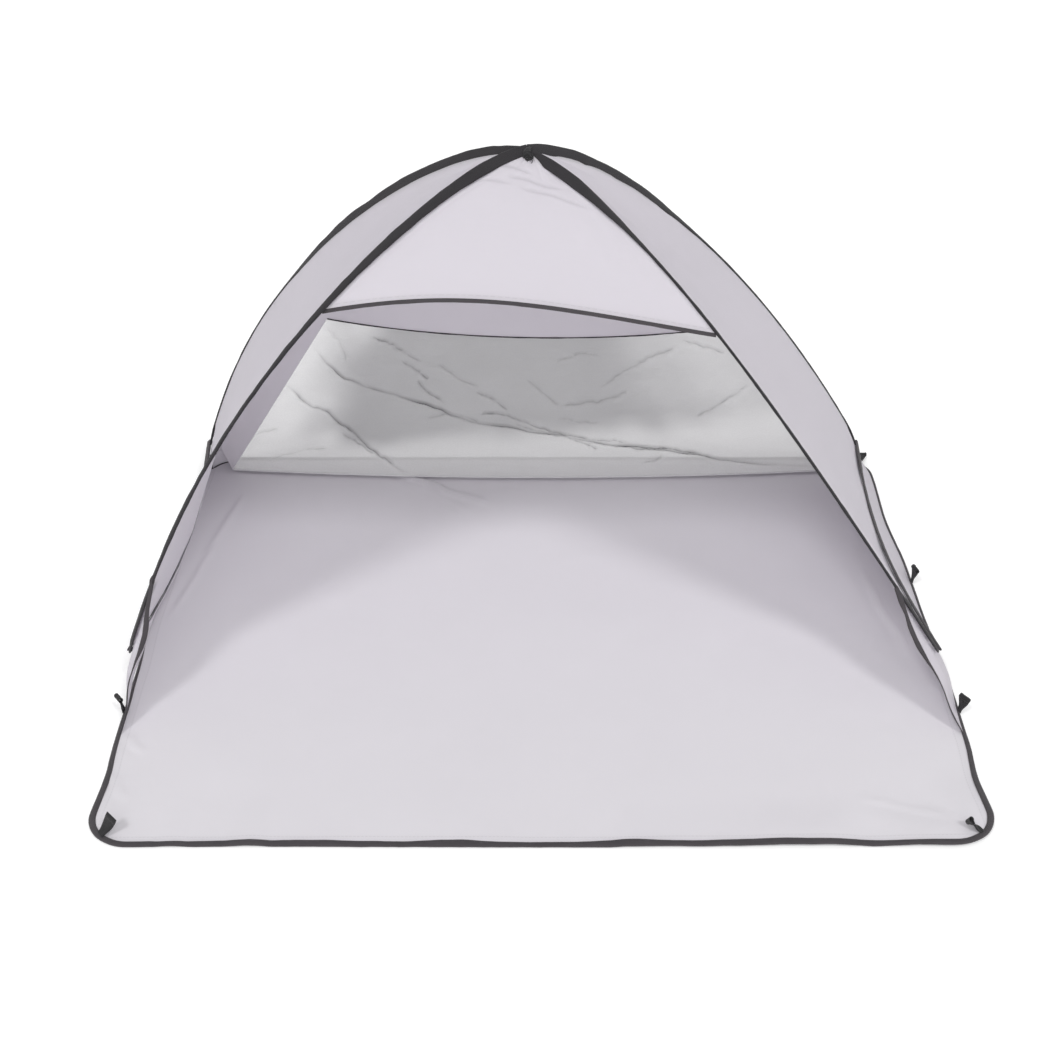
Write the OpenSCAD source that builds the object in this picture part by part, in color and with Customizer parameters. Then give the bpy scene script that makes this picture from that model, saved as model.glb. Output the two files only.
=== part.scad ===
// Open-fronted pop-up shelter for the beach.
// A wire hoop in a figure of eight holds up two side lobes that cross at the
// apex, and a second wire hoop runs round the edge of the floor.
// Millimetres, +Z up, open front towards -Y, origin on the ground under the
// middle of the floor.

/* [Base] */
// Width of the base over its edge binding
base_w = 2800; // [2600:10:3000]
// Depth of the base over its edge binding
base_d = 2200; // [2150:10:2300]
// Outer radius of the four base corners
corner_r = 140; // [110:5:200]
// Width of the flat binding tube round the base
binding_w = 28; // [24:1:32]
// Height of the flat binding tube round the base
binding_h = 12; // [11:1:16]
// Width of the tape sewn under the seam in the middle of the floor
seam_w = 40; // [30:2:60]

/* [Arches] */
// Height of the crossing point above the ground
apex_h = 1650; // [1500:10:1800]
// Sideways lean of the crossing point
apex_x = -40; // [-60:5:60]
// Distance of the crossing point behind the middle of the floor
apex_y = 290; // [200:10:350]
// Half the distance between the two front feet
front_foot_x = 1362; // [1330:2:1364]
// Sideways shift of all four feet, as the shelter stands a little askew
foot_shift = -18; // [-18:2:18]
// Place of the front feet, behind the middle of the floor
front_foot_y = -395; // [-450:5:-300]
// Height of the front feet above the ground
front_foot_z = 150; // [140:5:200]
// Half the distance between the two rear feet
rear_foot_x = 1322; // [1300:2:1340]
// Place of the rear feet, behind the middle of the floor
rear_foot_y = 1000; // [950:5:1010]
// Height of the rear feet above the ground
rear_foot_z = 170; // [160:5:200]
// Roundness of the front left arch, where 2 is a parabola
front_left_bow = 1.6; // [1.4:0.05:2]
// Outward swell of the front left arch, widest two thirds of the way down
front_left_swell = 80; // [0:5:90]
// Roundness of the front right arch
front_right_bow = 1.4; // [1.3:0.05:2]
// Outward swell of the front right arch
front_right_swell = -20; // [-25:5:20]
// Roundness of the rear left arch
rear_left_bow = 1.7; // [1.5:0.05:2]
// Outward swell of the rear left arch
rear_left_swell = 70; // [0:5:75]
// Roundness of the rear right arch
rear_right_bow = 1.5; // [1.4:0.05:2]
// Outward swell of the rear right arch
rear_right_swell = 10; // [0:5:40]
// Height between the upper and the lower arch where they cross
crossing_drop = 16; // [15:1:20]

/* [Wire and sleeves] */
// Radius of the spring wire
wire_r = 2.5; // [2:0.5:3]
// Width of the flat sleeves that hold the wire
sleeve_w = 38; // [34:1:40]
// Thickness of the flat sleeves
sleeve_t = 11; // [10:0.5:12]
// Wall of the sleeves and of the base binding
sleeve_wall = 1.5; // [1:0.1:1.6]

/* [Cloth] */
// Thickness of the cloth panels with their hems
cloth_t = 1.5; // [1:0.1:2]
// Share of the way down the front arches where the brow panel ends
brow_end = 0.44; // [0.4:0.01:0.55]
// Share of the way down the rear arches where the window begins
window_top = 0.68; // [0.6:0.01:0.7]
// Half the width of the window along its top, as a share of the panel
window_half = 0.76; // [0.7:0.01:0.88]

/* [Peg loops] */
// Width of the webbing
webbing_w = 38; // [30:1:40]
// Thickness of one layer of webbing
webbing_t = 1.6; // [1.2:0.1:1.8]
// Length from the hoop to the middle of the eye
loop_len = 56; // [40:1:60]
// Radius of the eye that takes the peg
eye_r = 8; // [6:0.5:9]
// Place of the front side loops, behind the middle of the floor
side_loop_y = -500; // [-560:10:-460]
// Place of the middle side loops, behind the middle of the floor
mid_loop_y = 220; // [100:10:300]
// Angle at which the front corner loops stand up from the floor
front_loop_lift = 35; // [20:1:50]
// Angle at which the front side loops stand up from the ground
side_loop_lift = 80; // [0:5:90]
// Angle at which the middle side loops stand up from the ground
mid_loop_lift = 85; // [0:5:90]

/* [Hidden] */

LEFT = -1;
RIGHT = 1;
FRONT = -1;
REAR = 1;
cloth_colour = [0.86, 0.845, 0.87];
shade_colour = [0.76, 0.74, 0.78];
mesh_colour = [0.66, 0.66, 0.67, 0.55];
sleeve_colour = [0.24, 0.24, 0.26];
binding_colour = [0.35, 0.33, 0.35];
wire_colour = [0.62, 0.63, 0.65];
round_fn = 48;

// Base hoop: centre line of the wire and of the tube round it
line_x = base_w / 2 - binding_w / 2;
line_y = base_d / 2 - binding_w / 2;
line_r = corner_r - binding_w / 2;
line_z = binding_h / 2;
split_gap = 3;
seam_t = 1;
floor_z = seam_t + 0.5;
floor_gap = 1;
floor_split = 0.5;
crimp_r = wire_r + 0.9;
crimp_wall = 0.6;
ferrule_r = wire_r + 1.4;
ferrule_len = 60;
ferrule_fit = 0.1;
base_ferrule_x = 600;
seam_short = 2;
cut = 2;

// Arches: side, foot, roundness, height at the crossing, outward swell
front_foot = [front_foot_x, front_foot_y, front_foot_z];
rear_foot = [rear_foot_x, rear_foot_y, rear_foot_z];
FRONT_LEFT = [LEFT, front_foot, front_left_bow, apex_h, front_left_swell];
FRONT_RIGHT = [RIGHT, front_foot, front_right_bow, apex_h - crossing_drop, front_right_swell];
REAR_LEFT = [LEFT, rear_foot, rear_left_bow, apex_h - crossing_drop, rear_left_swell];
REAR_RIGHT = [RIGHT, rear_foot, rear_right_bow, apex_h, rear_right_swell];
swell_bias = 1.7;
arch_steps = 16;
arch_crowding = 0.8;
edge_steps = 8;
turn_steps = 3;
lobe_out = 0.75;
lobe_up = 0.66;
wire_tip = 0.002;
sleeve_tip = 0.004;
arch_end = 0.965;
edge_end = 0.04;
edge_sleeve_short = 0.1;
edge_pull = 55;
edge_sag = 20;

// Cloth: distance below the sleeves, and from the arches
panel_drop = 4;
panel_inset = 54;
side_inset = sleeve_w / 2 + 4;
side_end = 0.975;
side_lift = 26;
panel_top = 0.13;
panel_sag = 12;
brow_rise = 0.035;
brow_tape_half = 0.95;
brow_tape_steps = 10;
window_sag = 0.055;
seam_lap = 3;
tape_half = 9;
tape_half_t = 1.5;
skirt_inset = 26;
skirt_foot_y = -610;
skirt_rear_y = 930;
skirt_x = line_x - binding_w / 2 - 8;
skirt_z = 10;
skirt_leave = 0.86;
skirt_corner = 0.25;
skirt_edge = [0.12, 0.95];
skirt_tape_share = [0.02, 0.97];
skirt_tape_steps = 6;
skirt_tape_gap = 6;
sill_half = 1265;
sill_y = 985;
sill_pull = 60;
sill_z = 36;
hem_half = base_w / 2 - corner_r + 40;
hem_inner_half = hem_half - 100;
hem_y = base_d / 2 - binding_w - 12;
hem_start = 0.2;
hem_rows = 2;

// Peg loops
loop_start = 2;
loop_z = eye_r + webbing_t + 1;
front_loop_z = binding_h + webbing_t + 2;
outer_gap = 2;

// ---- vectors and curves ----
function unit(v) = v / norm(v);
function mix(a, b, t) = a + (b - a) * t;
function last(v) = v[len(v) - 1];
function shift(path, d) = [for (p = path) p + d];

// Point of an arch at share u of the way from the crossing (0) to its foot (1)
function arch(a, u) = [
    mix(apex_x, a[0] * a[1][0] + foot_shift, u) + a[0] * a[4] * sin(180 * pow(u, swell_bias)),
    mix(apex_y, a[1][1], u),
    a[1][2] + (a[3] - a[1][2]) * (1 - pow(u, a[2]))
];
function front_arch(s) = s == LEFT ? FRONT_LEFT : FRONT_RIGHT;
function rear_arch(s) = s == LEFT ? REAR_LEFT : REAR_RIGHT;

// Bottom edge of a side lobe, from its front foot (0) to its rear foot (1)
function lobe_edge(s, v) = mix(arch(front_arch(s), 1), arch(rear_arch(s), 1), v)
    - sin(180 * v) * [s * edge_pull, 0, edge_sag];

function arch_path(a, from, to) = [
    for (k = [0:arch_steps]) arch(a, mix(from, to, pow(k / arch_steps, arch_crowding)))
];
function edge_path(s, from, to) = [
    for (k = [0:edge_steps]) lobe_edge(s, mix(from, to, k / edge_steps))
];
function bend(a, b, c) = [
    for (k = [1:turn_steps]) let (t = k / (turn_steps + 1)) mix(mix(a, b, t), mix(b, c, t), t)
];

// Wire of one lobe: down the front arch, along the bottom edge, up the rear arch
function lobe_path(s) = let (
    down = arch_path(front_arch(s), wire_tip, arch_end),
    along = edge_path(s, edge_end, 1 - edge_end),
    back = arch_path(rear_arch(s), wire_tip, arch_end),
    up = [for (k = [0:arch_steps]) back[arch_steps - k]]
) concat(
    down, bend(last(down), lobe_edge(s, 0), along[0]),
    along, bend(last(along), lobe_edge(s, 1), up[0]), up
);

// Direction that a lobe faces, turned towards the front or the rear by lean
function lobe_face(s, lean) = unit([s * lobe_out, lean, lobe_up]);

// ---- solids from curves ----
function tangent(path, i) = unit(
    path[min(i + 1, len(path) - 1)] - path[max(i - 1, 0)]
);
function ring(path, i, face, rx, ry, n) = let (
    t = tangent(path, i),
    w = unit(cross(t, face)),
    m = cross(w, t)
) [for (k = [0:n - 1]) let (a = 360 * (k + 0.5) / n) path[i] + w * rx * cos(a) + m * ry * sin(a)];
function flat(lists) = [for (l = lists) for (p = l) p];
function quad(a, b, c, d) = [[a, b, c], [a, c, d]];
function side_faces(n, rings, base, flip) = flat([
    for (i = [0:rings - 2], k = [0:n - 1]) let (
        a = base + i * n + k,
        b = base + i * n + (k + 1) % n
    ) flip ? quad(a, a + n, b + n, b) : quad(a, b, b + n, a + n)
]);

// Solid rod along a path, an oval of half axes rx and ry
module rod(path, face, rx, ry, n = 8) {
    rings = len(path);
    points = flat([for (i = [0:rings - 1]) ring(path, i, face, rx, ry, n)]);
    first_cap = [[for (k = [0:n - 1]) n - 1 - k]];
    last_cap = [[for (k = [0:n - 1]) (rings - 1) * n + k]];
    polyhedron(points, concat(side_faces(n, rings, 0, false), first_cap, last_cap), 4);
}

// Open-ended flat tube along a path
module sleeve(path, face, rx, ry, wall, n = 8) {
    rings = len(path);
    inner = rings * n;
    end = (rings - 1) * n;
    points = concat(
        flat([for (i = [0:rings - 1]) ring(path, i, face, rx, ry, n)]),
        flat([for (i = [0:rings - 1]) ring(path, i, face, rx - wall, ry - wall, n)])
    );
    first_rim = flat([
        for (k = [0:n - 1]) let (j = (k + 1) % n) quad(j, k, inner + k, inner + j)
    ]);
    last_rim = flat([
        for (k = [0:n - 1]) let (j = (k + 1) % n)
            quad(end + k, end + j, inner + end + j, inner + end + k)
    ]);
    polyhedron(points, concat(
        side_faces(n, rings, 0, false), side_faces(n, rings, inner, true), first_rim, last_rim
    ), 4);
}

// Closed sheet of cloth over a grid of points, moved by lift along its normal.
// Cells from hole[0] to hole[1] down and hole[2] to hole[3] across are left out.
module sheet(grid, lift = 0, hole = [0, -1, 0, -1]) {
    rows = len(grid) - 1;
    cols = len(grid[0]) - 1;
    w = cols + 1;
    low = (rows + 1) * w;
    normals = [for (i = [0:rows]) [for (j = [0:cols]) unit(cross(
        grid[min(i + 1, rows)][j] - grid[max(i - 1, 0)][j],
        grid[i][min(j + 1, cols)] - grid[i][max(j - 1, 0)]
    ))]];
    points = flat([for (h = [lift + cloth_t / 2, lift - cloth_t / 2])
        [for (i = [0:rows], j = [0:cols]) grid[i][j] + normals[i][j] * h]]);
    function kept(i, j) = i >= 0 && i < rows && j >= 0 && j < cols
        && !(i >= hole[0] && i <= hole[1] && j >= hole[2] && j <= hole[3]);
    function at(i, j) = i * w + j;
    faces = flat([for (i = [0:rows - 1], j = [0:cols - 1]) if (kept(i, j)) let (
        a = at(i, j), b = at(i, j + 1), c = at(i + 1, j + 1), d = at(i + 1, j)
    ) concat(
        quad(a, b, c, d),
        [[low + a, low + c, low + b], [low + a, low + d, low + c]],
        kept(i, j - 1) ? [] : quad(a, d, low + d, low + a),
        kept(i, j + 1) ? [] : quad(c, b, low + b, low + c),
        kept(i - 1, j) ? [] : quad(b, a, low + a, low + b),
        kept(i + 1, j) ? [] : quad(d, c, low + c, low + d)
    )]);
    polyhedron(points, faces, 4);
}

// ---- flat outlines ----
module rounded(w, d, r) {
    square([w - 2 * r, d], center = true);
    square([w, d - 2 * r], center = true);
    for (x = [-1, 1], y = [-1, 1])
        translate([x * (w / 2 - r), y * (d / 2 - r)]) circle(r = r, $fn = round_fn);
}

module flat_tube(w, h, wall) {
    difference() {
        flat_bar(w, h);
        flat_bar(w - 2 * wall, h - 2 * wall);
    }
}

module flat_bar(w, h) {
    square([w - h, h], center = true);
    for (x = [-1, 1])
        translate([x * (w - h) / 2, 0]) circle(r = h / 2, $fn = round_fn);
}

// ---- floor and base hoop ----
module floor_half(s) {
    inside = binding_w + floor_gap;
    translate([0, 0, floor_z]) linear_extrude(cloth_t) intersection() {
        rounded(base_w - 2 * inside, base_d - 2 * inside, corner_r - inside);
        translate([s > 0 ? floor_split : -floor_split - base_w, -base_d / 2]) square([base_w, base_d]);
    }
}

// Sweeps a flat outline round one half of the base hoop
module base_run(s, gap) {
    run = line_x - line_r - gap;
    side = 2 * (line_y - line_r);
    for (e = [FRONT, REAR]) {
        translate([s > 0 ? gap : -gap - run, e * line_y, line_z]) rotate([90, 0, 90])
            linear_extrude(run) children();
        translate([s * (line_x - line_r), e * (line_y - line_r), line_z])
            rotate([0, 0, corner_angle(s, e)]) rotate_extrude(angle = 90, $fn = 2 * round_fn)
                translate([line_r, 0]) children();
    }
    translate([s * line_x, side / 2, line_z]) rotate([90, 0, 0]) linear_extrude(side) children();
}
function corner_angle(s, e) = e > 0 ? (s > 0 ? 0 : 90) : (s > 0 ? 270 : 180);

module base_wire(s) {
    base_run(s, split_gap) circle(r = wire_r, $fn = round_fn);
}

module base_binding(s) {
    base_run(s, split_gap) flat_tube(binding_w, binding_h, sleeve_wall);
}

// Crimped tube over the joint of the base wire
module base_ferrule() {
    color(wire_colour) translate([base_ferrule_x, line_y, line_z]) rotate([0, 90, 0])
        difference() {
            cylinder(r = ferrule_r, h = ferrule_len, center = true, $fn = round_fn);
            cylinder(r = wire_r + ferrule_fit, h = ferrule_len + cut, center = true, $fn = round_fn);
        }
}

module floor_centre_seam() {
    length = base_d - 2 * (binding_w + seam_short);
    color(shade_colour) translate([-seam_w / 2, -length / 2, 0]) cube([seam_w, length, seam_t]);
}

// ---- canopy hoop and its sleeves ----
module canopy_wire(s) {
    rod(lobe_path(s), lobe_face(s, 0), wire_r, wire_r);
}

module canopy_ferrule() {
    edge = edge_path(RIGHT, edge_end, 1 - edge_end);
    path = [for (t = [0.25, 0.5, 0.75]) mix(edge[edge_steps / 2], edge[edge_steps / 2 + 1], t)];
    color(wire_colour) sleeve(path, lobe_face(RIGHT, 0), crimp_r, crimp_r, crimp_wall);
}

module arch_sleeve(a, lean) {
    path = arch_path(a, sleeve_tip, arch_end);
    color(sleeve_colour)
        sleeve(path, lobe_face(a[0], lean), sleeve_w / 2, sleeve_t / 2, sleeve_wall);
}

module edge_sleeve(s) {
    edge = edge_path(s, edge_end, 1 - edge_end);
    path = [for (k = [0:edge_steps]) k == 0 ? mix(edge[0], edge[1], edge_sleeve_short)
        : k == edge_steps ? mix(last(edge), edge[k - 1], edge_sleeve_short) : edge[k]];
    color(binding_colour)
        sleeve(path, lobe_face(s, 0), sleeve_w / 2, sleeve_t / 2, sleeve_wall);
}

// Band of webbing that holds the two arches together where they cross
module apex_wrap() {
    width = 20;
    slack = 6;
    corner = 8;
    inner_d = 70;
    inner_h = crossing_drop + sleeve_t + 2 * slack;
    mid_z = apex_h - crossing_drop / 2;
    color(sleeve_colour) translate([apex_x - width / 2, apex_y, mid_z]) rotate([90, 0, 90])
        linear_extrude(width) difference() {
            rounded(inner_d + 2 * webbing_t, inner_h + 2 * webbing_t, corner + webbing_t);
            rounded(inner_d, inner_h, corner);
        }
}

// ---- cloth ----
// Side lobe between its front and rear arch
module side_panel(s) {
    rows = 12;
    cols = 6;
    draw = 6;
    grid = [for (i = [0:rows]) let (
        u = mix(panel_top, side_end, i / rows),
        f = arch(front_arch(s), u),
        r = arch(rear_arch(s), u),
        inset = side_inset / norm(r - f)
    ) [for (j = [0:cols]) let (v = mix(inset, 1 - inset, j / cols))
        mix(f, r, v) - sin(180 * v) * pow(u, draw) * [s * edge_pull, 0, edge_sag - side_lift]]];
    color(cloth_colour) sheet(grid);
}

// Rear cloth: rows run down the rear arches, columns run from left to right.
// Above the window it hangs between the arches, and beside the window it
// follows them to their feet, while the window runs down to a sill at the floor.
back_window = [6, 10];
back_cols = 8;
window_cols = back_cols / 2 - 1;
function hang_pt(u, w) = let (
    fall = (1 - w * w) * window_sag * (u - panel_top) / (window_top - panel_top),
    l = arch(REAR_LEFT, u + fall) + [panel_inset, 0, 0],
    r = arch(REAR_RIGHT, u + fall) - [panel_inset, 0, 0]
) mix(l, r, (w + 1) / 2) - (1 - w * w) * panel_sag * [0, 0.5, 1];
function sill_pt(w) = [w * sill_half, sill_y - sill_pull * (1 - w * w), sill_z];
function inner_share(j) = (j - 1) / window_cols - 1;
function across(j) = j == 0 ? -1 : j == back_cols ? 1 : window_half * inner_share(j);
function beside_pt(j, t) = hang_pt(mix(window_top, arch_end, t), j == 0 ? -1 : 1);
function back_pt(i, j) = let (
    t = (i - back_window[0]) / (back_window[1] - back_window[0])
) t <= 0 ? hang_pt(mix(panel_top, window_top, i / back_window[0]), across(j))
    : j == 0 || j == back_cols ? beside_pt(j, t)
    : mix(hang_pt(window_top, across(j)), sill_pt(inner_share(j)), t);
function back_grid() = [for (i = [0:back_window[1]]) [for (j = [0:back_cols]) back_pt(i, j)]];
function window_grid() = [for (i = [back_window[0]:back_window[1]])
    [for (j = [1:back_cols - 1]) back_pt(i, j)]];

module back_panel() {
    color(shade_colour) sheet(back_grid(), -panel_drop,
        [back_window[0], back_window[1] - 1, 1, back_cols - 2]);
}

module mesh_window() {
    color(mesh_colour) sheet(window_grid(), -panel_drop - seam_lap);
}

module window_tape(i) {
    gap = panel_drop + 2 * seam_lap + 1;
    tilt = [0, 0.6, 0.8];
    path = [for (j = [1:back_cols - 1]) back_pt(i, j) - [0, gap, 0]];
    color(binding_colour) rod(path, tilt, tape_half, tape_half_t);
}

module mesh_top_binding() {
    window_tape(back_window[0]);
}

module mesh_bottom_binding() {
    window_tape(back_window[1]);
}

// Skirt from the bottom of the rear cloth down to the base behind it
function hem_pt(j) = let (
    x = j == 0 ? -hem_half : j == back_cols ? hem_half : inner_share(j) * hem_inner_half
) [x, hem_y, skirt_z];

module rear_skirt() {
    grid = [for (i = [0:hem_rows]) [for (j = [0:back_cols])
        mix(back_pt(back_window[1], j), hem_pt(j), mix(hem_start, 1, i / hem_rows))]];
    color(shade_colour) sheet(grid, -panel_drop - 4 * seam_lap);
}

// Brow: the front cloth under the crossing
function brow_pt(u, w) = let (
    e = u - (1 - w * w) * brow_rise * (u - panel_top) / (brow_end - panel_top),
    l = arch(FRONT_LEFT, e) + [panel_inset, 0, 0],
    r = arch(FRONT_RIGHT, e) - [panel_inset, 0, 0]
) mix(l, r, (w + 1) / 2) + (1 - w * w) * panel_sag * [0, -1, 0.5];

module brow_panel() {
    rows = 8;
    cols = 8;
    grid = [for (i = [0:rows]) [for (j = [0:cols])
        brow_pt(mix(panel_top, brow_end, i / rows), 2 * j / cols - 1)]];
    color(cloth_colour) sheet(grid, panel_drop);
}

module brow_binding() {
    gap = panel_drop + tape_half + seam_lap + 1;
    tilt = [0, -0.8, 0.6];
    path = [for (j = [0:brow_tape_steps])
        brow_pt(brow_end, brow_tape_half * (2 * j / brow_tape_steps - 1))];
    color(binding_colour) rod(shift(path, [0, 0, -gap]), tilt, tape_half, tape_half_t);
}

// Gusset between a lobe's bottom edge and the base hoop
function skirt_top(s, v) = (v < skirt_corner
    ? mix(arch(front_arch(s), skirt_leave), lobe_edge(s, skirt_edge[0]), v / skirt_corner)
    : lobe_edge(s, mix(skirt_edge[0], skirt_edge[1], (v - skirt_corner) / (1 - skirt_corner)))
) - [s * skirt_inset, 0, 0];
function skirt_foot(s, v) = [s * skirt_x, mix(skirt_foot_y, skirt_rear_y, v), skirt_z];

module side_skirt(s) {
    rows = 4;
    cols = 12;
    grid = [for (i = [0:rows]) [for (j = [0:cols])
        mix(skirt_top(s, j / cols), skirt_foot(s, j / cols), i / rows)]];
    color(cloth_colour) sheet(grid);
}

module skirt_binding(s) {
    tilt = [s, 0, 0.4];
    path = [for (k = [0:skirt_tape_steps]) mix(skirt_top(s, 0), skirt_foot(s, 0),
        mix(skirt_tape_share[0], skirt_tape_share[1], k / skirt_tape_steps))];
    color(binding_colour)
        rod(shift(path, [0, -tape_half - skirt_tape_gap, 0]), tilt, tape_half, tape_half_t);
}

// ---- peg loops ----
// Webbing doubled round an eye, with its stitched end at the origin
module peg_loop() {
    color(sleeve_colour) difference() {
        union() {
            translate([loop_start, -webbing_w / 2, -webbing_t])
                cube([loop_len - loop_start, webbing_w, 2 * webbing_t]);
            translate([loop_len, 0, 0]) rotate([90, 0, 0])
                cylinder(r = eye_r + webbing_t, h = webbing_w, center = true, $fn = round_fn);
        }
        translate([loop_len, 0, 0]) rotate([90, 0, 0])
            cylinder(r = eye_r, h = webbing_w + cut, center = true, $fn = round_fn);
    }
}

// Loop that stands up from a front corner and points in over the floor
module front_loop(s) {
    reach = line_r / sqrt(2);
    translate([s * (line_x - line_r + reach), -(line_y - line_r + reach), front_loop_z])
        rotate([0, 0, s > 0 ? 135 : 45]) rotate([0, -front_loop_lift, 0]) peg_loop();
}

// Loop that stands up outside a long side
module side_loop(s, y, lift) {
    translate([s * (base_w / 2 + outer_gap), y, loop_z])
        rotate([0, 0, s > 0 ? 0 : 180]) rotate([0, -lift, 0]) peg_loop();
}

// Loop that lies outwards from a rear corner
module rear_loop(s) {
    reach = (corner_r + outer_gap) / sqrt(2);
    translate([s * (base_w / 2 - corner_r + reach), base_d / 2 - corner_r + reach, loop_z])
        rotate([0, 0, s > 0 ? 45 : 135]) peg_loop();
}

color(cloth_colour) floor_half(LEFT);  // floor_left
color(cloth_colour) floor_half(RIGHT);  // floor_right
floor_centre_seam();
color(wire_colour) base_wire(LEFT);  // base_wire_left
color(wire_colour) base_wire(RIGHT);  // base_wire_right
base_ferrule();
color(binding_colour) base_binding(LEFT);  // base_binding_left
color(binding_colour) base_binding(RIGHT);  // base_binding_right
color(wire_colour) canopy_wire(LEFT);  // canopy_wire_left
color(wire_colour) canopy_wire(RIGHT);  // canopy_wire_right
canopy_ferrule();
arch_sleeve(FRONT_LEFT, -0.3);  // front_sleeve_left
arch_sleeve(FRONT_RIGHT, -0.3);  // front_sleeve_right
arch_sleeve(REAR_LEFT, 0.3);  // rear_sleeve_left
arch_sleeve(REAR_RIGHT, 0.3);  // rear_sleeve_right
edge_sleeve(LEFT);  // edge_sleeve_left
edge_sleeve(RIGHT);  // edge_sleeve_right
apex_wrap();
side_panel(LEFT);  // side_panel_left
side_panel(RIGHT);  // side_panel_right
back_panel();
mesh_window();
mesh_top_binding();
mesh_bottom_binding();
rear_skirt();
brow_panel();
brow_binding();
side_skirt(LEFT);  // side_skirt_left
side_skirt(RIGHT);  // side_skirt_right
skirt_binding(LEFT);  // skirt_binding_left
skirt_binding(RIGHT);  // skirt_binding_right
front_loop(LEFT);  // loop_front_left
front_loop(RIGHT);  // loop_front_right
side_loop(LEFT, side_loop_y, side_loop_lift);  // loop_side_left
side_loop(RIGHT, side_loop_y, side_loop_lift);  // loop_side_right
side_loop(LEFT, mid_loop_y, mid_loop_lift);  // loop_mid_left
side_loop(RIGHT, mid_loop_y, mid_loop_lift);  // loop_mid_right
rear_loop(LEFT);  // loop_rear_left
rear_loop(RIGHT);  // loop_rear_right
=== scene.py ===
"""Looks of an open-fronted pop-up shelter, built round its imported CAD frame. Metres, +Z up, front to -Y."""

import math

import bpy
import numpy as np
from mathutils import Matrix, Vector


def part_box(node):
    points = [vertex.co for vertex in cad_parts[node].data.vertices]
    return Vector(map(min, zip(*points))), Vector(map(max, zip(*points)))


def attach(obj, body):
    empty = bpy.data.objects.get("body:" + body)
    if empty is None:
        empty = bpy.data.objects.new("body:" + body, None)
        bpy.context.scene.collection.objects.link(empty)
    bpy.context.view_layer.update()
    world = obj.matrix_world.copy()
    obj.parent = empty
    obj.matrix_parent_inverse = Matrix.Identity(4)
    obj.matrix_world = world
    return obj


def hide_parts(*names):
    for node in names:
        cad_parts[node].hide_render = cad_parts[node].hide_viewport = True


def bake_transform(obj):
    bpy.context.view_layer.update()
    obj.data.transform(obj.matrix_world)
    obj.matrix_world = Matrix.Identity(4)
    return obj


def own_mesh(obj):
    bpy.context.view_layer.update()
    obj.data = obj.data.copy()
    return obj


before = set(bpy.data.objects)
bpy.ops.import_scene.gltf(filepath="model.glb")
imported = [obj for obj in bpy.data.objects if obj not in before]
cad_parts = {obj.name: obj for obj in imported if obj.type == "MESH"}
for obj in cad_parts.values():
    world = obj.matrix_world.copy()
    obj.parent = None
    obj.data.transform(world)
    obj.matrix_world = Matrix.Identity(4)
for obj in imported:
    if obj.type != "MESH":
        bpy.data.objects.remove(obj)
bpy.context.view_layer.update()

# ---- driving values
LEFT, RIGHT = -1, 1
SIDES = {LEFT: "left", RIGHT: "right"}

BASE_LOW, BASE_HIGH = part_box("base_binding_left")[0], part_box("base_binding_right")[1]
HALF_W = (BASE_HIGH.x - BASE_LOW.x) / 2
HALF_D = (BASE_HIGH.y - BASE_LOW.y) / 2
BINDING_H = BASE_HIGH.z
BINDING_W = 0.028
CORNER_R = 0.14
LINE_X, LINE_Y, LINE_R = HALF_W - BINDING_W / 2, HALF_D - BINDING_W / 2, CORNER_R - BINDING_W / 2

APEX = np.array([-0.04, 0.29, 1.65])
CROSSING_DROP = 0.016
FRONT_FOOT = np.array([1.362, -0.395, 0.15])
REAR_FOOT = np.array([1.322, 1.0, 0.17])
FOOT_SHIFT = -0.018
EDGE_PULL, EDGE_SAG = 0.055, 0.020
SLEEVE_W, SLEEVE_T = 0.040, 0.011
CLOTH_T = 0.0012
UP = np.array([0, 0, 1.0])
SEED = 11

# arch: its foot, roundness, drop at the crossing, outward swell
ARCH = {
    ("front", LEFT): (FRONT_FOOT, 1.60, 0.0, 0.08),
    ("front", RIGHT): (FRONT_FOOT, 1.40, CROSSING_DROP, -0.02),
    ("rear", LEFT): (REAR_FOOT, 1.70, CROSSING_DROP, 0.07),
    ("rear", RIGHT): (REAR_FOOT, 1.50, 0.0, 0.01),
}
SWELL_BIAS = 1.7
BROW_TOP, BROW_END, BROW_RISE = 0.012, 0.44, 0.035
WINDOW_TOP, WINDOW_SAG, WINDOW_HALF = 0.68, 0.055, 0.76
SILL_HALF, SILL_Y, SILL_PULL, SILL_Z = 1.268, 0.985, 0.06, 0.018
# a side skirt leaves its front arch at this share of it; the other two are shares of the skirt's own length
SKIRT_LEAVE, SKIRT_CORNER, SKIRT_BACK = 0.875, 0.24, 0.90
SKIRT_FRONT_Y = -0.61

WIRE_R = 0.0025
BROW_TAPE_HALF_W = 0.0105
EDGE_TAPE_HALF_W, EDGE_TAPE_HALF_T = 0.0095, 0.0045
PIPING_HALF_W, PIPING_HALF_T = 0.0042, 0.0026
LOOP_LEN, EYE_R, LOOP_W, LAYER = 0.056, 0.008, 0.038, 0.0016
SIDE_LOOP_Y, MID_LOOP_Y, LOOP_Z = -0.50, 0.22, 0.0108
FRONT_LIFT, SIDE_LIFT, MID_LIFT, REAR_LIFT = 35, 80, 85, 6


# ---- numbers
def mix(a, b, t):
    return a + (b - a) * t


def smooth(t):
    t = np.clip(t, 0, 1)
    return t * t * (3 - 2 * t)


def bump(x, centre, width):
    """A round hill one unit high."""
    return np.exp(-((x - centre) / width) ** 2)


def vec(*v):
    return np.array(v)


def stack(*parts):
    """Joins coordinates, arrays or single numbers, along a new last axis."""
    return np.stack(np.broadcast_arrays(*parts), -1)


def unit(v):
    v = np.asarray(v, float)
    return v / np.maximum(np.linalg.norm(v, axis=-1, keepdims=True), 1e-12)


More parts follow.
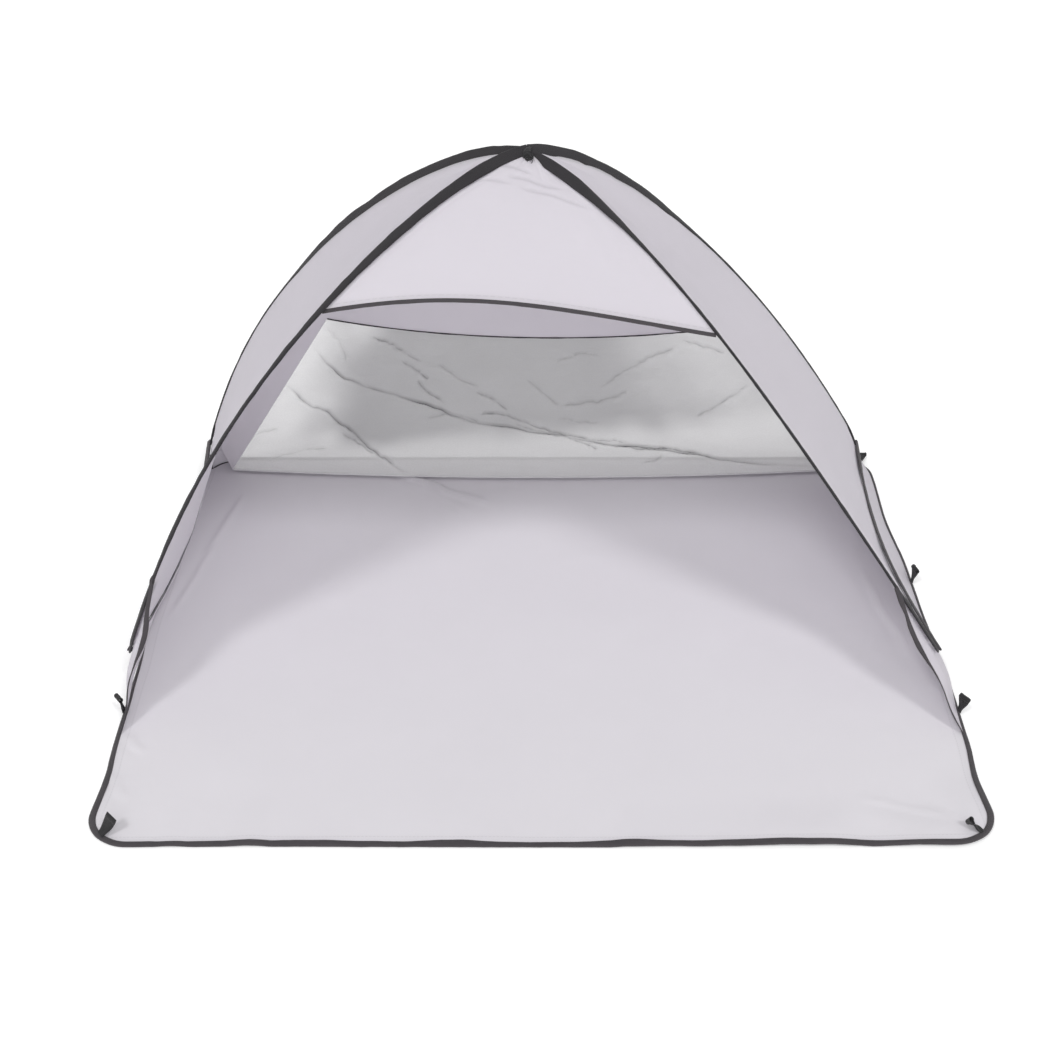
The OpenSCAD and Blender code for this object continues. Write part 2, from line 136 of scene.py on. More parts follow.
def noise(x, y, seed=0):
    """Smooth value noise from -1 to 1 with cells one unit wide, the same at every run."""
    x, y = np.broadcast_arrays(np.asarray(x, float), np.asarray(y, float))
    x, y = x + 1000.0, y + 1000.0
    ix, iy = np.floor(x).astype(np.int64), np.floor(y).astype(np.int64)
    fx, fy = smooth(x - ix), smooth(y - iy)
    table = np.random.RandomState(SEED + seed).uniform(-1, 1, 4096)

    def at(i, j):
        return table[(i * 73 + j * 179 + (i * j) % 61) % 4096]

    return mix(mix(at(ix, iy), at(ix + 1, iy), fx), mix(at(ix, iy + 1), at(ix + 1, iy + 1), fx), fy)


def fractal(x, y, seed=0, octaves=4):
    total, size = 0.0, 1.0
    for k in range(octaves):
        total = total + size * noise(x * 2 ** k + 7.3 * k, y * 2 ** k - 3.1 * k, seed + k)
        size *= 0.5
    return total / 1.9


# ---- curves of the shelter
def arch(where, side, u):
    """Points of an arch at shares u of the way from the crossing to its foot."""
    foot, bow, drop, swell = ARCH[where, side]
    u = np.asarray(u, float)
    top = APEX[2] - drop
    x = mix(APEX[0], side * foot[0] + FOOT_SHIFT, u) + side * swell * np.sin(np.pi * np.abs(u) ** SWELL_BIAS)
    y = mix(APEX[1], foot[1], u)
    z = foot[2] + (top - foot[2]) * (1 - np.abs(u) ** bow)
    return stack(x, y, z)


def lobe_edge(side, v):
    """Bottom edge of a side lobe, from its front foot to its rear foot."""
    v = np.asarray(v, float)[..., None]
    ends = mix(arch("front", side, 1.0), arch("rear", side, 1.0), v)
    return ends - np.sin(np.pi * v) * vec(side * EDGE_PULL, 0, EDGE_SAG)


def lobe_face(side, lean, outward=1.0):
    """Direction that the tapes of a side lobe face."""
    return unit(stack(side * 0.75 * outward, lean, 0.66))


def base_wave(p):
    """How far the base hoop and the cloth near it lie off their ideal line."""
    x, y = p[..., 0], p[..., 1]
    edge = np.minimum(HALF_W - np.abs(x), HALF_D - np.abs(y))
    near = smooth(1 - edge / 0.22)
    front = smooth((-y - 0.75) / 0.25)
    lift = np.clip(noise(x * 3.1, y * 1.2, 3) + 0.35 * noise(x * 8, y * 3, 4), 0, 1)
    out = np.zeros(p.shape)
    out[..., 2] = near * front * lift * 0.016
    out[..., 1] = near * front * 0.007 * noise(x * 2.3, y, 5)
    sway = 0.012 * noise(y * 3.2, np.sign(x) * 2.0, 6) - 0.006 - 0.010 * bump(y, -0.82, 0.12)
    out[..., 0] = near * np.sign(x) * smooth((np.abs(x) - 1.1) / 0.2) * sway
    return out


# ---- ties to the frame
def stand_in(node):
    """Takes the place of a CAD node."""
    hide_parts(node)


def ride_side(piece, side, node):
    """Moves with a side lobe, in place of one of its nodes."""
    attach(piece, "side_" + SIDES[side])
    stand_in(node)


def over_middle(piece, node):
    """Bakes a floor half or its binding where it lies, in place of its CAD node."""
    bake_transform(piece)
    stand_in(node)


def across_skirt(piece):
    """Bakes cloth from the base up to the lobe where it lies."""
    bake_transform(piece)


def hidden_in_fold(piece, node):
    """Cloth between the two halves: it moves with the floor's middle, on a mesh of its own, in place of a CAD
    node.
    """
    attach(piece, "floor_centre")
    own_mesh(piece)
    stand_in(node)


# ---- meshes
def into_scene(name, data):
    """A new object that holds this mesh, lamp or camera."""
    obj = bpy.data.objects.new(name, data)
    bpy.context.scene.collection.objects.link(obj)
    return obj


def new_object(name, verts, faces, uv, material, flat, marks=None):
    """A mesh from groups of faces of one size each. The last groups, flat in number, are rims or caps.

    marks are values for each point that the materials read by name.
    """
    mesh = bpy.data.meshes.new(name)
    faces = [np.asarray(f, np.int64).reshape(-1, np.asarray(f).shape[-1]) for f in faces if len(f)]
    used = np.unique(np.concatenate([f.ravel() for f in faces]))
    renumber = np.full(len(verts), -1, np.int64)
    renumber[used] = np.arange(len(used))
    faces = [renumber[f] for f in faces]
    loops = np.concatenate([f.ravel() for f in faces])
    sizes = np.concatenate([np.full(len(f), f.shape[1]) for f in faces])
    starts = np.concatenate([[0], np.cumsum(sizes)[:-1]])
    mesh.vertices.add(len(used))
    mesh.vertices.foreach_set("co", np.asarray(verts, np.float32)[used].ravel())
    mesh.loops.add(len(loops))
    mesh.loops.foreach_set("vertex_index", loops.astype(np.int32))
    mesh.polygons.add(len(sizes))
    mesh.polygons.foreach_set("loop_start", starts.astype(np.int32))
    mesh.update(calc_edges=True)
    rims = faces[len(faces) - flat:]
    mesh.polygons.foreach_set("use_smooth", np.arange(len(sizes)) < len(sizes) - sum(len(f) for f in rims))
    layer = mesh.uv_layers.new(name="UVMap")
    layer.data.foreach_set("uv", np.asarray(uv, np.float32)[used][loops].ravel())
    mesh.validate()
    ends = np.empty(len(mesh.edges) * 2, np.int32)
    mesh.edges.foreach_get("vertices", ends)
    sharp = np.concatenate([stack(f, np.roll(f, -1, axis=1)).reshape(-1, 2) for f in rims])
    for mark, values in (marks or {}).items():
        mesh.attributes.new(mark, "FLOAT", "POINT").data.foreach_set("value", values[used].astype(np.float32))
    attribute = mesh.attributes.new("sharp_edge", "BOOLEAN", "EDGE")
    attribute.data.foreach_set("value", np.isin(edge_keys(ends.reshape(-1, 2)), edge_keys(sharp)))
    mesh.materials.append(material)
    return into_scene(name, mesh)


def edge_keys(pairs):
    pairs = np.sort(pairs.astype(np.int64), axis=1)
    return pairs[:, 0] * 2 ** 31 + pairs[:, 1]


def arc_length(line):
    """Distance along a line at each of its points."""
    return np.concatenate([[0], np.cumsum(np.linalg.norm(np.diff(line, axis=0), axis=1))])


def lengths(points, axis):
    """Distance along one axis of a grid, averaged over the other."""
    step = np.linalg.norm(np.diff(points, axis=axis), axis=-1).mean(axis=1 - axis)
    return np.concatenate([[0], np.cumsum(step)])


def normals(grid):
    return unit(np.cross(np.gradient(grid, axis=0), np.gradient(grid, axis=1)))


SEAM_REACH = 0.03  # how far from a sewn edge the cloth's seam mark fades out


def seam_mark(*distances):
    """1 at a sewn edge, falling to 0 where every edge is further away than the reach."""
    nearest = np.min(np.broadcast_arrays(*distances), axis=0)
    return np.clip(1 - nearest / SEAM_REACH, 0, 1)


def cloth(name, grid, material, thick=CLOTH_T, kept=None, uv=None, **marks):
    """A closed sheet of cloth over a grid of points. Cells not kept are left out."""
    rows, cols = grid.shape[:2]
    n = normals(grid)
    verts = np.concatenate([(grid + n * thick / 2).reshape(-1, 3), (grid - n * thick / 2).reshape(-1, 3)])
    if uv is None:
        a, b = np.meshgrid(lengths(grid, 0), lengths(grid, 1), indexing="ij")
        uv = stack(b, a)
    kept = np.ones((rows - 1, cols - 1), bool) if kept is None else kept
    index = np.arange(rows * cols).reshape(rows, cols)
    a, b, c, d = index[:-1, :-1], index[:-1, 1:], index[1:, 1:], index[1:, :-1]
    low = rows * cols
    faces = [stack(a, d, c, b)[kept], stack(a, b, c, d)[kept] + low]
    padded = np.pad(kept, 1)
    open_left, open_right = kept & ~padded[1:-1, :-2], kept & ~padded[1:-1, 2:]
    open_up, open_down = kept & ~padded[:-2, 1:-1], kept & ~padded[2:, 1:-1]
    rim = np.concatenate([
        stack(p, q, q + low, p + low)[where]
        for p, q, where in ((d, a, open_left), (b, c, open_right), (a, b, open_up), (c, d, open_down))])
    marks = {mark: np.tile(np.broadcast_to(values, (rows, cols)).ravel(), 2)
             for mark, values in marks.items()}
    uv = np.concatenate([uv.reshape(-1, 2)] * 2)
    return new_object(name, verts, faces + [rim], uv, material, 1, marks)


def frames(path, face):
    """Width and face directions along a path."""
    t = unit(np.gradient(path, axis=0))
    w = unit(np.cross(t, face))
    return w, np.cross(w, t)


def tube(name, path, face, half_w, half_t, material, ring=16, square=2.6, wobble=0.0, seed=0):
    """A closed flat tube along a path. half_w and half_t may vary along it."""
    count = len(path)
    w, m = frames(path, np.broadcast_to(face, path.shape))
    angle = 2 * np.pi * (np.arange(ring) + 0.5) / ring
    c, s = np.cos(angle), np.sin(angle)
    x = np.sign(c) * np.abs(c) ** (2 / square)
    y = np.sign(s) * np.abs(s) ** (2 / square)
    along = arc_length(path)
    half_w = np.broadcast_to(half_w, (count,))[:, None]
    half_t = np.broadcast_to(half_t, (count,))[:, None]
    pucker = wobble * fractal(along[:, None] * 22, x[None] * 1.5 + y[None], seed, 3)
    verts = path[:, None] + w[:, None] * (x[None] * (half_w + pucker))[..., None]
    verts = verts + m[:, None] * (y[None] * (half_t + 0.6 * pucker))[..., None]
    index = np.arange(count * ring).reshape(count, ring)
    nxt = np.roll(index, -1, axis=1)
    side = stack(index[:-1], index[1:], nxt[1:], nxt[:-1]).reshape(-1, 4)
    caps = [index[0][None], index[-1][::-1][None]]
    around = np.concatenate([[0], np.cumsum(np.hypot(np.diff(x), np.diff(y)))]) * float(half_w.mean())
    uv = stack(around[None], along[:, None])
    return new_object(name, verts.reshape(-1, 3), [side] + caps, uv.reshape(-1, 2), material, 2)


def even_steps(line, count):
    """Points at even steps along a line."""
    s = arc_length(line)
    even = np.linspace(0, s[-1], count)
    return stack(*(np.interp(even, s, line[:, k]) for k in range(line.shape[1])))


def resample(points, count):
    """Even steps along a smooth curve through a few points."""
    points = np.asarray(points, float)
    n = len(points)
    t = np.linspace(0, n - 1, n * 24)
    i = np.clip(np.floor(t).astype(int), 0, n - 2)
    f = (t - i)[:, None]
    p0, p1 = points[np.maximum(i - 1, 0)], points[i]
    p2, p3 = points[i + 1], points[np.minimum(i + 2, n - 1)]
    curve = 0.5 * (2 * p1 + (p2 - p0) * f + (2 * p0 - 5 * p1 + 4 * p2 - p3) * f ** 2
                   + (3 * p1 - p0 - 3 * p2 + p3) * f ** 3)
    return even_steps(curve, count)


# ---- materials
class Nodes:
    """A short way to write a node tree."""

    def __init__(self, name):
        self.material = bpy.data.materials.new(name)
        self.material.use_nodes = True
        self.tree = self.material.node_tree
        self.tree.nodes.clear()

    def add(self, kind, out=0, **inputs):
        settings = inputs.pop("settings", {})
        node = self.tree.nodes.new(kind)
        for key, value in settings.items():
            setattr(node, key, value)
        for key, value in inputs.items():
            name = key.replace("_", " ")
            socket = node.inputs[int(key[1:])] if key[0] == "i" and key[1:].isdigit() else node.inputs[name]
            if isinstance(value, bpy.types.NodeSocket):
                self.tree.links.new(value, socket)
            else:
                socket.default_value = value
        return node.outputs[out]

    def math(self, what, a, b=0.0):
        return self.add("ShaderNodeMath", i0=a, i1=b, settings={"operation": what})

    def plus(self, a, b):
        return self.math("ADD", a, b)

    def minus(self, a, b):
        return self.math("SUBTRACT", a, b)

    def times(self, a, b):
        return self.math("MULTIPLY", a, b)

    def uv(self):
        return self.add("ShaderNodeTexCoord", out=2)

    def scaled(self, vector, scale):
        return self.add("ShaderNodeMapping", Vector=vector, Scale=scale)

    def noise(self, vector, scale, detail=3.0, rough=0.5):
        return self.add("ShaderNodeTexNoise", Vector=vector, Scale=scale, Detail=detail, Roughness=rough)

    def wave(self, vector, scale, direction):
        return self.add("ShaderNodeTexWave", out=1, Vector=vector, Scale=scale,
                        settings={"wave_type": "BANDS", "bands_direction": direction, "wave_profile": "SIN"})

    def tint(self, factor, low, high):
        low = low + (1,) if isinstance(low, tuple) else low
        return self.add("ShaderNodeMix", out=2, i0=factor, i6=low, i7=high + (1,),
                        settings={"data_type": "RGBA"})

    def mark(self, name):
        return self.add("ShaderNodeAttribute", out=2, settings={"attribute_name": name})

    def seam(self, uv):
        """A row of stitches beside a sewn edge, and the hem that it holds."""
        mark = self.mark("seam")
        away = self.math("ABSOLUTE", self.minus(mark, 0.60))
        line = self.math("MAXIMUM", self.minus(1.0, self.times(away, 26.0)), 0.0)
        dashes = self.math("GREATER_THAN", self.wave(uv, band_scale(0.006), "DIAGONAL"), 0.3)
        return self.times(line, dashes), self.math("GREATER_THAN", mark, 0.45)

    def bumps(self, height, strength, distance):
        return self.add("ShaderNodeBump", Height=height, Strength=strength, Distance=distance)

    def body(self, colour, roughness, **more):
        return self.add("ShaderNodeBsdfPrincipled", Base_Color=colour, Roughness=roughness, **more)

    def blended(self, share, first, second):
        return self.add("ShaderNodeMixShader", i0=share, i1=first, i2=second)

    def output(self, shader):
        surface = self.tree.nodes.new("ShaderNodeOutputMaterial").inputs["Surface"]
        self.tree.links.new(shader, surface)
        return self.material


WAVES_PER_METRE = 1 / (2 * math.pi) * 20  # Blender's wave texture has 20 / 2 pi bands a unit at scale 1


def band_scale(pitch):
    return 1 / (pitch * WAVES_PER_METRE)


def cloth_material(name, low, high, translucent, weave=0.0009, rough=0.62, bump_strength=0.25):
    """Thin coated plain weave that lets some light through."""
    n = Nodes(name)
    uv = n.uv()
    patches = n.noise(uv, 2.3, 4.0)
    fine = n.noise(uv, 900.0, 2.0)
    stitches, hem = n.seam(uv)
    fold = n.mark("fold")
    colour = n.tint(patches, low, high)
    colour = n.tint(n.plus(n.times(stitches, 0.30), n.times(hem, 0.05)), colour,
                    tuple(0.4 * c for c in low))
    # Painted shade: darker along folds, creases and the pocket, from the shade mark that each piece gives.
    colour = n.tint(fold, colour, tuple(0.5 * c for c in low))
    warp = n.wave(uv, band_scale(weave), "X")
    weft = n.wave(uv, band_scale(weave), "Y")
    threads = n.times(n.plus(warp, weft), 0.5)
    crumple = n.noise(n.scaled(uv, (1.0, 1.7, 1.0)), 14.0, 6.0, 0.62)
    height = n.plus(crumple, n.times(threads, 0.05))
    sewn = n.minus(n.times(hem, 0.15), n.times(stitches, 0.3))
    height = n.plus(height, sewn)
    normal = n.bumps(height, bump_strength, 0.004)
    roughness = n.plus(n.times(fine, 0.12), rough - 0.06)
    body = n.body(colour, roughness, Normal=normal, Sheen_Weight=0.15, Specular_IOR_Level=0.25)
    through = n.add("ShaderNodeBsdfTranslucent", Color=colour, Normal=normal)
    return n.output(n.blended(translucent, body, through))


def mesh_material():
    """Fine insect mesh: mostly air, so what is behind shows through. Its threads get painted light where more
    shows through and painted shade along its creases.
    """
    n = Nodes("insect_mesh")
    uv = n.uv()
    patches = n.noise(uv, 3.0, 4.0)
    fold, thin = n.mark("fold"), n.mark("thin")
    colour = n.tint(patches, (0.60, 0.60, 0.605), (0.68, 0.68, 0.685))
    # Painted light: the threads are painted near white where more of what is behind shows through.
    colour = n.tint(thin, colour, (0.98, 0.98, 0.98))
    # Painted shade: dark along the creases.
    colour = n.tint(fold, colour, (0.07, 0.07, 0.075))
    cells = n.add("ShaderNodeTexVoronoi", Vector=uv, Scale=420.0, settings={"feature": "F1"})
    specks = n.noise(uv, 160.0, 3.0)
    height = n.plus(cells, n.times(specks, 0.6))
    body = n.body(colour, 0.7, Normal=n.bumps(height, 0.2, 0.001), Specular_IOR_Level=0.2)
    through = n.add("ShaderNodeBsdfTranslucent", Color=colour)
    threads = n.blended(0.45, body, through)
    clear = n.add("ShaderNodeBsdfTransparent", Color=(1, 1, 1, 1))
    # The same light mask also lets more of what is behind show through.
    solid = n.minus(0.76, n.times(thin, 0.32))
    solid = n.plus(n.times(specks, 0.10), solid)
    # Denser where the mesh is creased.
    solid = n.math("MINIMUM", n.plus(solid, n.times(fold, 0.5)), 1.0)
    return n.output(n.blended(solid, clear, threads))


def tape_material(name, low, high, pitch, rough=0.75, direction="Y", depth=0.0006):
    """Ribbed tape or webbing: ribs run across its length."""
    n = Nodes(name)
    uv = n.uv()
    ribs = n.wave(uv, band_scale(pitch), direction)
    worn = n.noise(n.scaled(uv, (30.0, 9.0, 1.0)), 1.0, 5.0, 0.6)
    fuzz = n.noise(uv, 700.0, 2.0)
    shade = n.plus(n.times(worn, 0.8), n.times(ribs, 0.2))
    colour = n.tint(shade, low, high)
    height = n.plus(ribs, n.plus(n.times(worn, 1.4), n.times(fuzz, 0.3)))
    normal = n.bumps(height, 0.7, depth)
    roughness = n.plus(n.times(worn, 0.2), rough - 0.1)
    return n.output(n.body(colour, roughness, Normal=normal, Sheen_Weight=0.12, Specular_IOR_Level=0.3))


def steel_material():
    n = Nodes("spring_steel")
    where = n.add("ShaderNodeTexCoord", out=3)
    streaks = n.noise(n.scaled(where, (40.0, 40.0, 40.0)), 3.0, 4.0)
    colour = n.tint(streaks, (0.42, 0.43, 0.44), (0.62, 0.63, 0.65))
    roughness = n.plus(n.times(streaks, 0.25), 0.25)
    return n.output(n.body(colour, roughness, Metallic=1.0))


CLOTH = cloth_material("lilac_cloth", (0.800, 0.776, 0.816), (0.830, 0.808, 0.846), 0.47)
FLOOR = cloth_material("floor_cloth", (0.700, 0.680, 0.716), (0.725, 0.706, 0.742), 0.0, bump_strength=0.12)
MESH = mesh_material()
SLEEVE = tape_material("sleeve_tape", (0.010, 0.009, 0.011), (0.042, 0.038, 0.043), 0.0013)
BINDING = tape_material("binding_tape", (0.036, 0.032, 0.036), (0.086, 0.078, 0.085), 0.0016)
WEBBING = tape_material("webbing", (0.010, 0.010, 0.011), (0.036, 0.035, 0.037), 0.0024, depth=0.0010)
# The sill tape's colour is partly its own pale tone and partly painted light that hides the shade along the
# sill.
SILL_TAPE_PAINTED_LIGHTER = tape_material("sill_tape", (0.72, 0.71, 0.73), (0.84, 0.83, 0.85), 0.0016)
THREAD = tape_material("thread", (0.050, 0.048, 0.052), (0.100, 0.096, 0.102), 0.0006)
STEEL = steel_material()


# ---- floor and base hoop
def base_line(side, gap, count=420):
    """Centre line of one half of the base hoop, from the middle of the front to the middle of the rear."""
    x, y = LINE_X - LINE_R, LINE_Y - LINE_R
    turn = np.linspace(0, np.pi / 2, 14)
    front = [(x + LINE_R * math.sin(a), -y - LINE_R * math.cos(a)) for a in turn]
    rear = [(x + LINE_R * math.cos(a), y + LINE_R * math.sin(a)) for a in turn]
    line = even_steps(np.array([(gap, -LINE_Y)] + front + rear + [(gap, LINE_Y)]), count)
    return stack(side * line[:, 0], line[:, 1], BINDING_H / 2)


# soft folds of the floor: start, end, height and width
FLOOR_CREASES = [
    ((-0.62, 1.00), (-0.40, 0.86), 0.010, 0.010),
    ((-0.50, 0.93), (-0.20, 0.74), 0.012, 0.018),
    ((-0.42, 0.90), (-0.30, 0.72), 0.006, 0.012),
    ((-1.20, 0.80), (-1.27, 0.42), 0.006, 0.014),
    ((-1.25, 0.46), (-1.33, 0.02), 0.005, 0.012),
    ((-1.36, -0.62), (-1.29, -0.70), 0.004, 0.012),
    ((-1.38, -0.80), (-1.30, -0.90), 0.004, 0.014),
    ((1.00, -0.90), (1.26, -0.98), 0.002, 0.012),
    ((1.22, 0.30), (1.30, -0.20), 0.005, 0.014),
]


def floor_folds(x, y):
    """Heights of the floor's soft folds, and the painted shade beside each of them."""
    height, fold = np.zeros(x.shape), np.zeros(x.shape)
    for k, (start, end, tall, wide) in enumerate(FLOOR_CREASES):
        d = np.subtract(end, start)
        t = ((x - start[0]) * d[0] + (y - start[1]) * d[1]) / (d @ d)
        off = ((x - start[0]) * d[1] - (y - start[1]) * d[0]) / np.linalg.norm(d)
        off = off + 0.4 * wide * noise(t * 4, k, 25)
        along = smooth(t * 3 + 0.4) * smooth((1.15 - t) * 2.5)
        height += along * tall * (bump(off, 0, wide) - 0.4 * bump(off, 2 * wide, 1.4 * wide))
        # Painted shade on one side of each fold.
        fold = np.maximum(fold, along * 0.22 * smooth(tall / 0.012) * bump(off, 0.6 * wide, 0.7 * wide))
    return height, fold


def build_floor(side):
    rows, cols = 190, 126
    inset = BINDING_W / 2
    y, x = np.meshgrid(np.linspace(-1, 1, rows), np.linspace(0, 1, cols), indexing="ij")
    half_x, half_y, r = HALF_W - 0.007, LINE_Y - inset + 0.008, LINE_R - inset
    corner = np.clip((np.abs(y) * half_y - (half_y - r)) / r, 0, 1)
    reach = half_x - r * (1 - np.sqrt(1 - corner ** 2))
    grid = stack(side * x * reach, y * half_y, 0.0)
    px, py = grid[..., 0], grid[..., 1]
    still = smooth(np.abs(px) / 0.12)
    level = 0.0045 + 0.0022 * fractal(px * 2.2, py * 2.6, 20) + 0.0008 * fractal(px * 11, py * 9, 24, 3)
    ripple = 0.0025 * smooth((-py - 0.6) / 0.4) * noise(px * 7, py * 2.2, 27)
    height, fold = floor_folds(px, py)
    edge = np.minimum(LINE_X - inset - np.abs(px), LINE_Y - inset - np.abs(py))
    seam = seam_mark(np.maximum(edge, 0))
    grid[..., 2] = mix(0.0045, level + ripple, still) + still * height
    grid[..., 2] = np.maximum(grid[..., 2], 0.0025)
    wave = base_wave(grid)
    grid += wave * still[..., None] + wave * (1 - still[..., None]) * vec(0, 1, 1)
    if side == LEFT:
        grid, fold, seam = grid[:, ::-1], fold[:, ::-1], seam[:, ::-1]
    piece = cloth("floor_cloth_" + SIDES[side], grid, FLOOR, uv=grid[..., :2].copy(), fold=fold, seam=seam)
    over_middle(piece, "floor_" + SIDES[side])


def hoop_line(side, gap=0.0):
    """Line of the hoop as it lies, with half the width of its binding: rolled tight along the sides."""
    path = base_line(side, gap)
    s = np.linspace(0, 4, len(path))
    slim = mix(0.80, mix(0.60, 0.34, smooth((path[:, 1] + 0.45) / 0.2)), smooth((path[:, 1] + 0.95) / 0.35))
    slim = mix(slim, 0.80, smooth((path[:, 1] - 0.99) / 0.04))
    bumps = 0.25 * np.clip(noise(s * 5, 2, 34) - 0.35, 0, 1) / 0.65
    half_w = BINDING_W / 2 * slim * (1 + 0.16 * noise(s * 9, 0, 31) + bumps)
    outward = side * unit(np.cross(np.gradient(path, axis=0), UP))
    return path + base_wave(path) + outward * (BINDING_W / 2 - half_w)[:, None], half_w


def build_base_binding(side):
    path, half_w = hoop_line(side)
    half_t = BINDING_H / 2 * (0.85 + 0.10 * noise(np.linspace(0, 52, len(path)), 4, 32))
    piece = tube("base_binding_cover_" + SIDES[side], path, UP, half_w, half_t, BINDING, 14, 2.2, 0.0012, 33)
    over_middle(piece, "base_binding_" + SIDES[side])


def build_base_wire(side):
    """The hoop's wire, sprung out of true together with its binding."""
    path, _ = hoop_line(side, gap=0.003)
    piece = tube("base_hoop_wire_" + SIDES[side], path, UP, WIRE_R, WIRE_R, STEEL, 12, 2.0)
    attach(piece, "base_" + SIDES[side])
    stand_in("base_wire_" + SIDES[side])


# ---- side lobes
def lobe_surface(side, u, v):
    """Side lobe between its arches, drawn in a little between them."""
    u, v = np.broadcast_arrays(u, v)
    flat = mix(arch("front", side, u), arch("rear", side, u), v[..., None])
    foot = lobe_edge(side, v) - mix(arch("front", side, 1.0), arch("rear", side, 1.0), v[..., None])
    flat = flat + foot * smooth((u - 0.55) / 0.45)[..., None] ** 2
    sag = 0.030 * np.sin(np.pi * v) * np.sin(np.pi * np.clip(u, 0, 1) ** 0.8)
    return flat - sag[..., None] * vec(side * 0.8, 0, 0.6)


def build_side_panel(side):
    rows, cols = 190, 110
    v = np.linspace(0, 1, cols)[None]
    u = np.linspace(0.008, 1.0, rows)[:, None] * (1 - 0.034 * bump(v, 0, 0.030) - 0.034 * bump(v, 1, 0.030))
    grid = lobe_surface(side, u, v)
    n = normals(grid)
    n *= np.sign((n * vec(side, 0, 0.5)).sum(-1, keepdims=True))
    width = np.linalg.norm(grid[:, -1] - grid[:, 0], axis=1)[:, None]
    along = lengths(grid, 0)[:, None]
    from_front, from_rear = v * width, (1 - v) * width
    near = np.exp(-from_front / 0.05) + np.exp(-from_rear / 0.05)
    pucker = 0.0022 * near * noise(along * 17, v * 4, 41 + side)
    fan = 0.004 * np.exp(-along / 0.5) * noise(v * 9, along * 1.2, 45)
    foot_pull = 0.005 * smooth((u - 0.75) / 0.25) * noise(along * 3 + v * 5, v * 6 - along * 2, 47 + side)
    soft = 0.004 * fractal(along * 1.6, v * 2.2, 49 + side)
    hold = smooth(np.minimum(from_front, from_rear) / 0.03)
    grid = grid + n * (hold * (pucker + fan + foot_pull + soft))[..., None]
    # Painted shade in patches, in the pocket at the front foot.
    pocket = smooth((u - 0.86) / 0.06) * smooth((0.12 - v) / 0.05)
    patches = 0.9 * pocket * np.clip(0.15 + noise(along * 16, v * 30, 43 + side), 0, 1)
    seam = seam_mark(from_front, from_rear, along[-1] - along)
    piece = cloth("side_cloth_" + SIDES[side], grid, CLOTH, seam=seam, fold=patches)
    ride_side(piece, side, "side_panel_" + SIDES[side])


# arch sleeve: its width at the crossing as a share of SLEEVE_W, the shares of the way down where it starts
# and stops rolling narrower, its width from there on, and its lean at the crossing and below
SLEEVES = {
    ("front", LEFT): (1.05, 0.12, 0.55, 0.52, -0.70, -0.35),
    ("front", RIGHT): (1.10, 0.09, 0.25, 0.34, -0.60, -0.20),
    ("rear", LEFT): (1.30, 0.34, 0.62, 0.42, -0.90, 0.20),
    ("rear", RIGHT): (1.05, 0.16, 0.42, 0.42, -0.75, 0.20),
}
FOOT_FLARE = 0.20  # a front sleeve's extra width near its foot


def foot_turn(side, where, steps=18):
    """The last stretch of an arch sleeve, bent round its foot."""
    a, b = arch(where, side, 0.96), lobe_edge(side, 0.045 if where == "front" else 0.955)
    corner = arch(where, side, 1.0)
    t = np.linspace(0, 1, steps)[:, None]
    return (1 - t) ** 2 * a + 2 * t * (1 - t) * corner + t ** 2 * b


def build_arch_sleeve(where, side):
    count = 320
    u = np.linspace(0.0, 0.96, 230) ** 0.9
    path = np.concatenate([arch(where, side, u), foot_turn(side, where)[1:]])
    path = resample(path[::3], count)
    along, even = lengths(path[:, None], 0), np.linspace(0, 1, count)
    share = np.interp(even, along / along[-1], even)
    full, wide, narrow, least, lean_top, lean_low = SLEEVES[where, side]
    roll = smooth((share - wide) / (narrow - wide))
    flare = FOOT_FLARE * bump(share, 0.94, 0.07) if where == "front" else 0
    half_w = SLEEVE_W / 2 * (mix(full, least, roll) + flare) * (1 + 0.10 * noise(share * 26, 3, 51))
    to_end = (1.004 - share) / 0.012
    half_w = half_w * np.sqrt(np.clip(to_end, 0.05, 1))
    half_t = SLEEVE_T / 2 * mix(0.55, 0.80, smooth(share / 0.5)) * np.sqrt(np.clip(to_end, 0.1, 1))
    lean = mix(lean_top, lean_low, roll) + 0.10 * noise(share * 9, side, 52)
    face = lobe_face(side, lean, smooth(share / 0.14))
    name = "%s_sleeve_cover_%s" % (where, SIDES[side])
    seed = 53 + side + (5 if where == "front" else 0)
    piece = tube(name, path, face, half_w, half_t, SLEEVE, 16, 2.4, 0.0018, seed)
    ride_side(piece, side, "%s_sleeve_%s" % (where, SIDES[side]))


def build_edge_sleeve(side):
    v = np.linspace(0.030, 0.970, 160)
    path = lobe_edge(side, v) + 0.009 * lobe_face(side, 0)
    half_w = EDGE_TAPE_HALF_W * (1 + 0.40 * noise(v * 9, side, 62))
    tilt = 0.5 * noise(v * 5, side * 2, 63) - 0.35
    piece = tube("edge_sleeve_cover_" + SIDES[side], path, lobe_face(side, tilt), half_w, EDGE_TAPE_HALF_T,
                 BINDING, 14, 2.2, 0.0016, 61)
    ride_side(piece, side, "edge_sleeve_" + SIDES[side])


# ---- brow
def brow_surface(u, w):
    """Front cloth between the front arches; w runs from -1 on the left to 1 on the right."""
    u, w = np.broadcast_arrays(u, w)
    e = u - (1 - w * w) * (1 - 0.4 * w) * BROW_RISE * (u - BROW_TOP) / (BROW_END - BROW_TOP)
    flat = mix(arch("front", LEFT, e), arch("front", RIGHT, e), ((w + 1) / 2)[..., None])
    crown = 0.020 * (1 - w * w) * smooth(u / 0.25)
    return flat + crown[..., None] * vec(0, -0.8, 0.6) - vec(0, 0, 0.003)


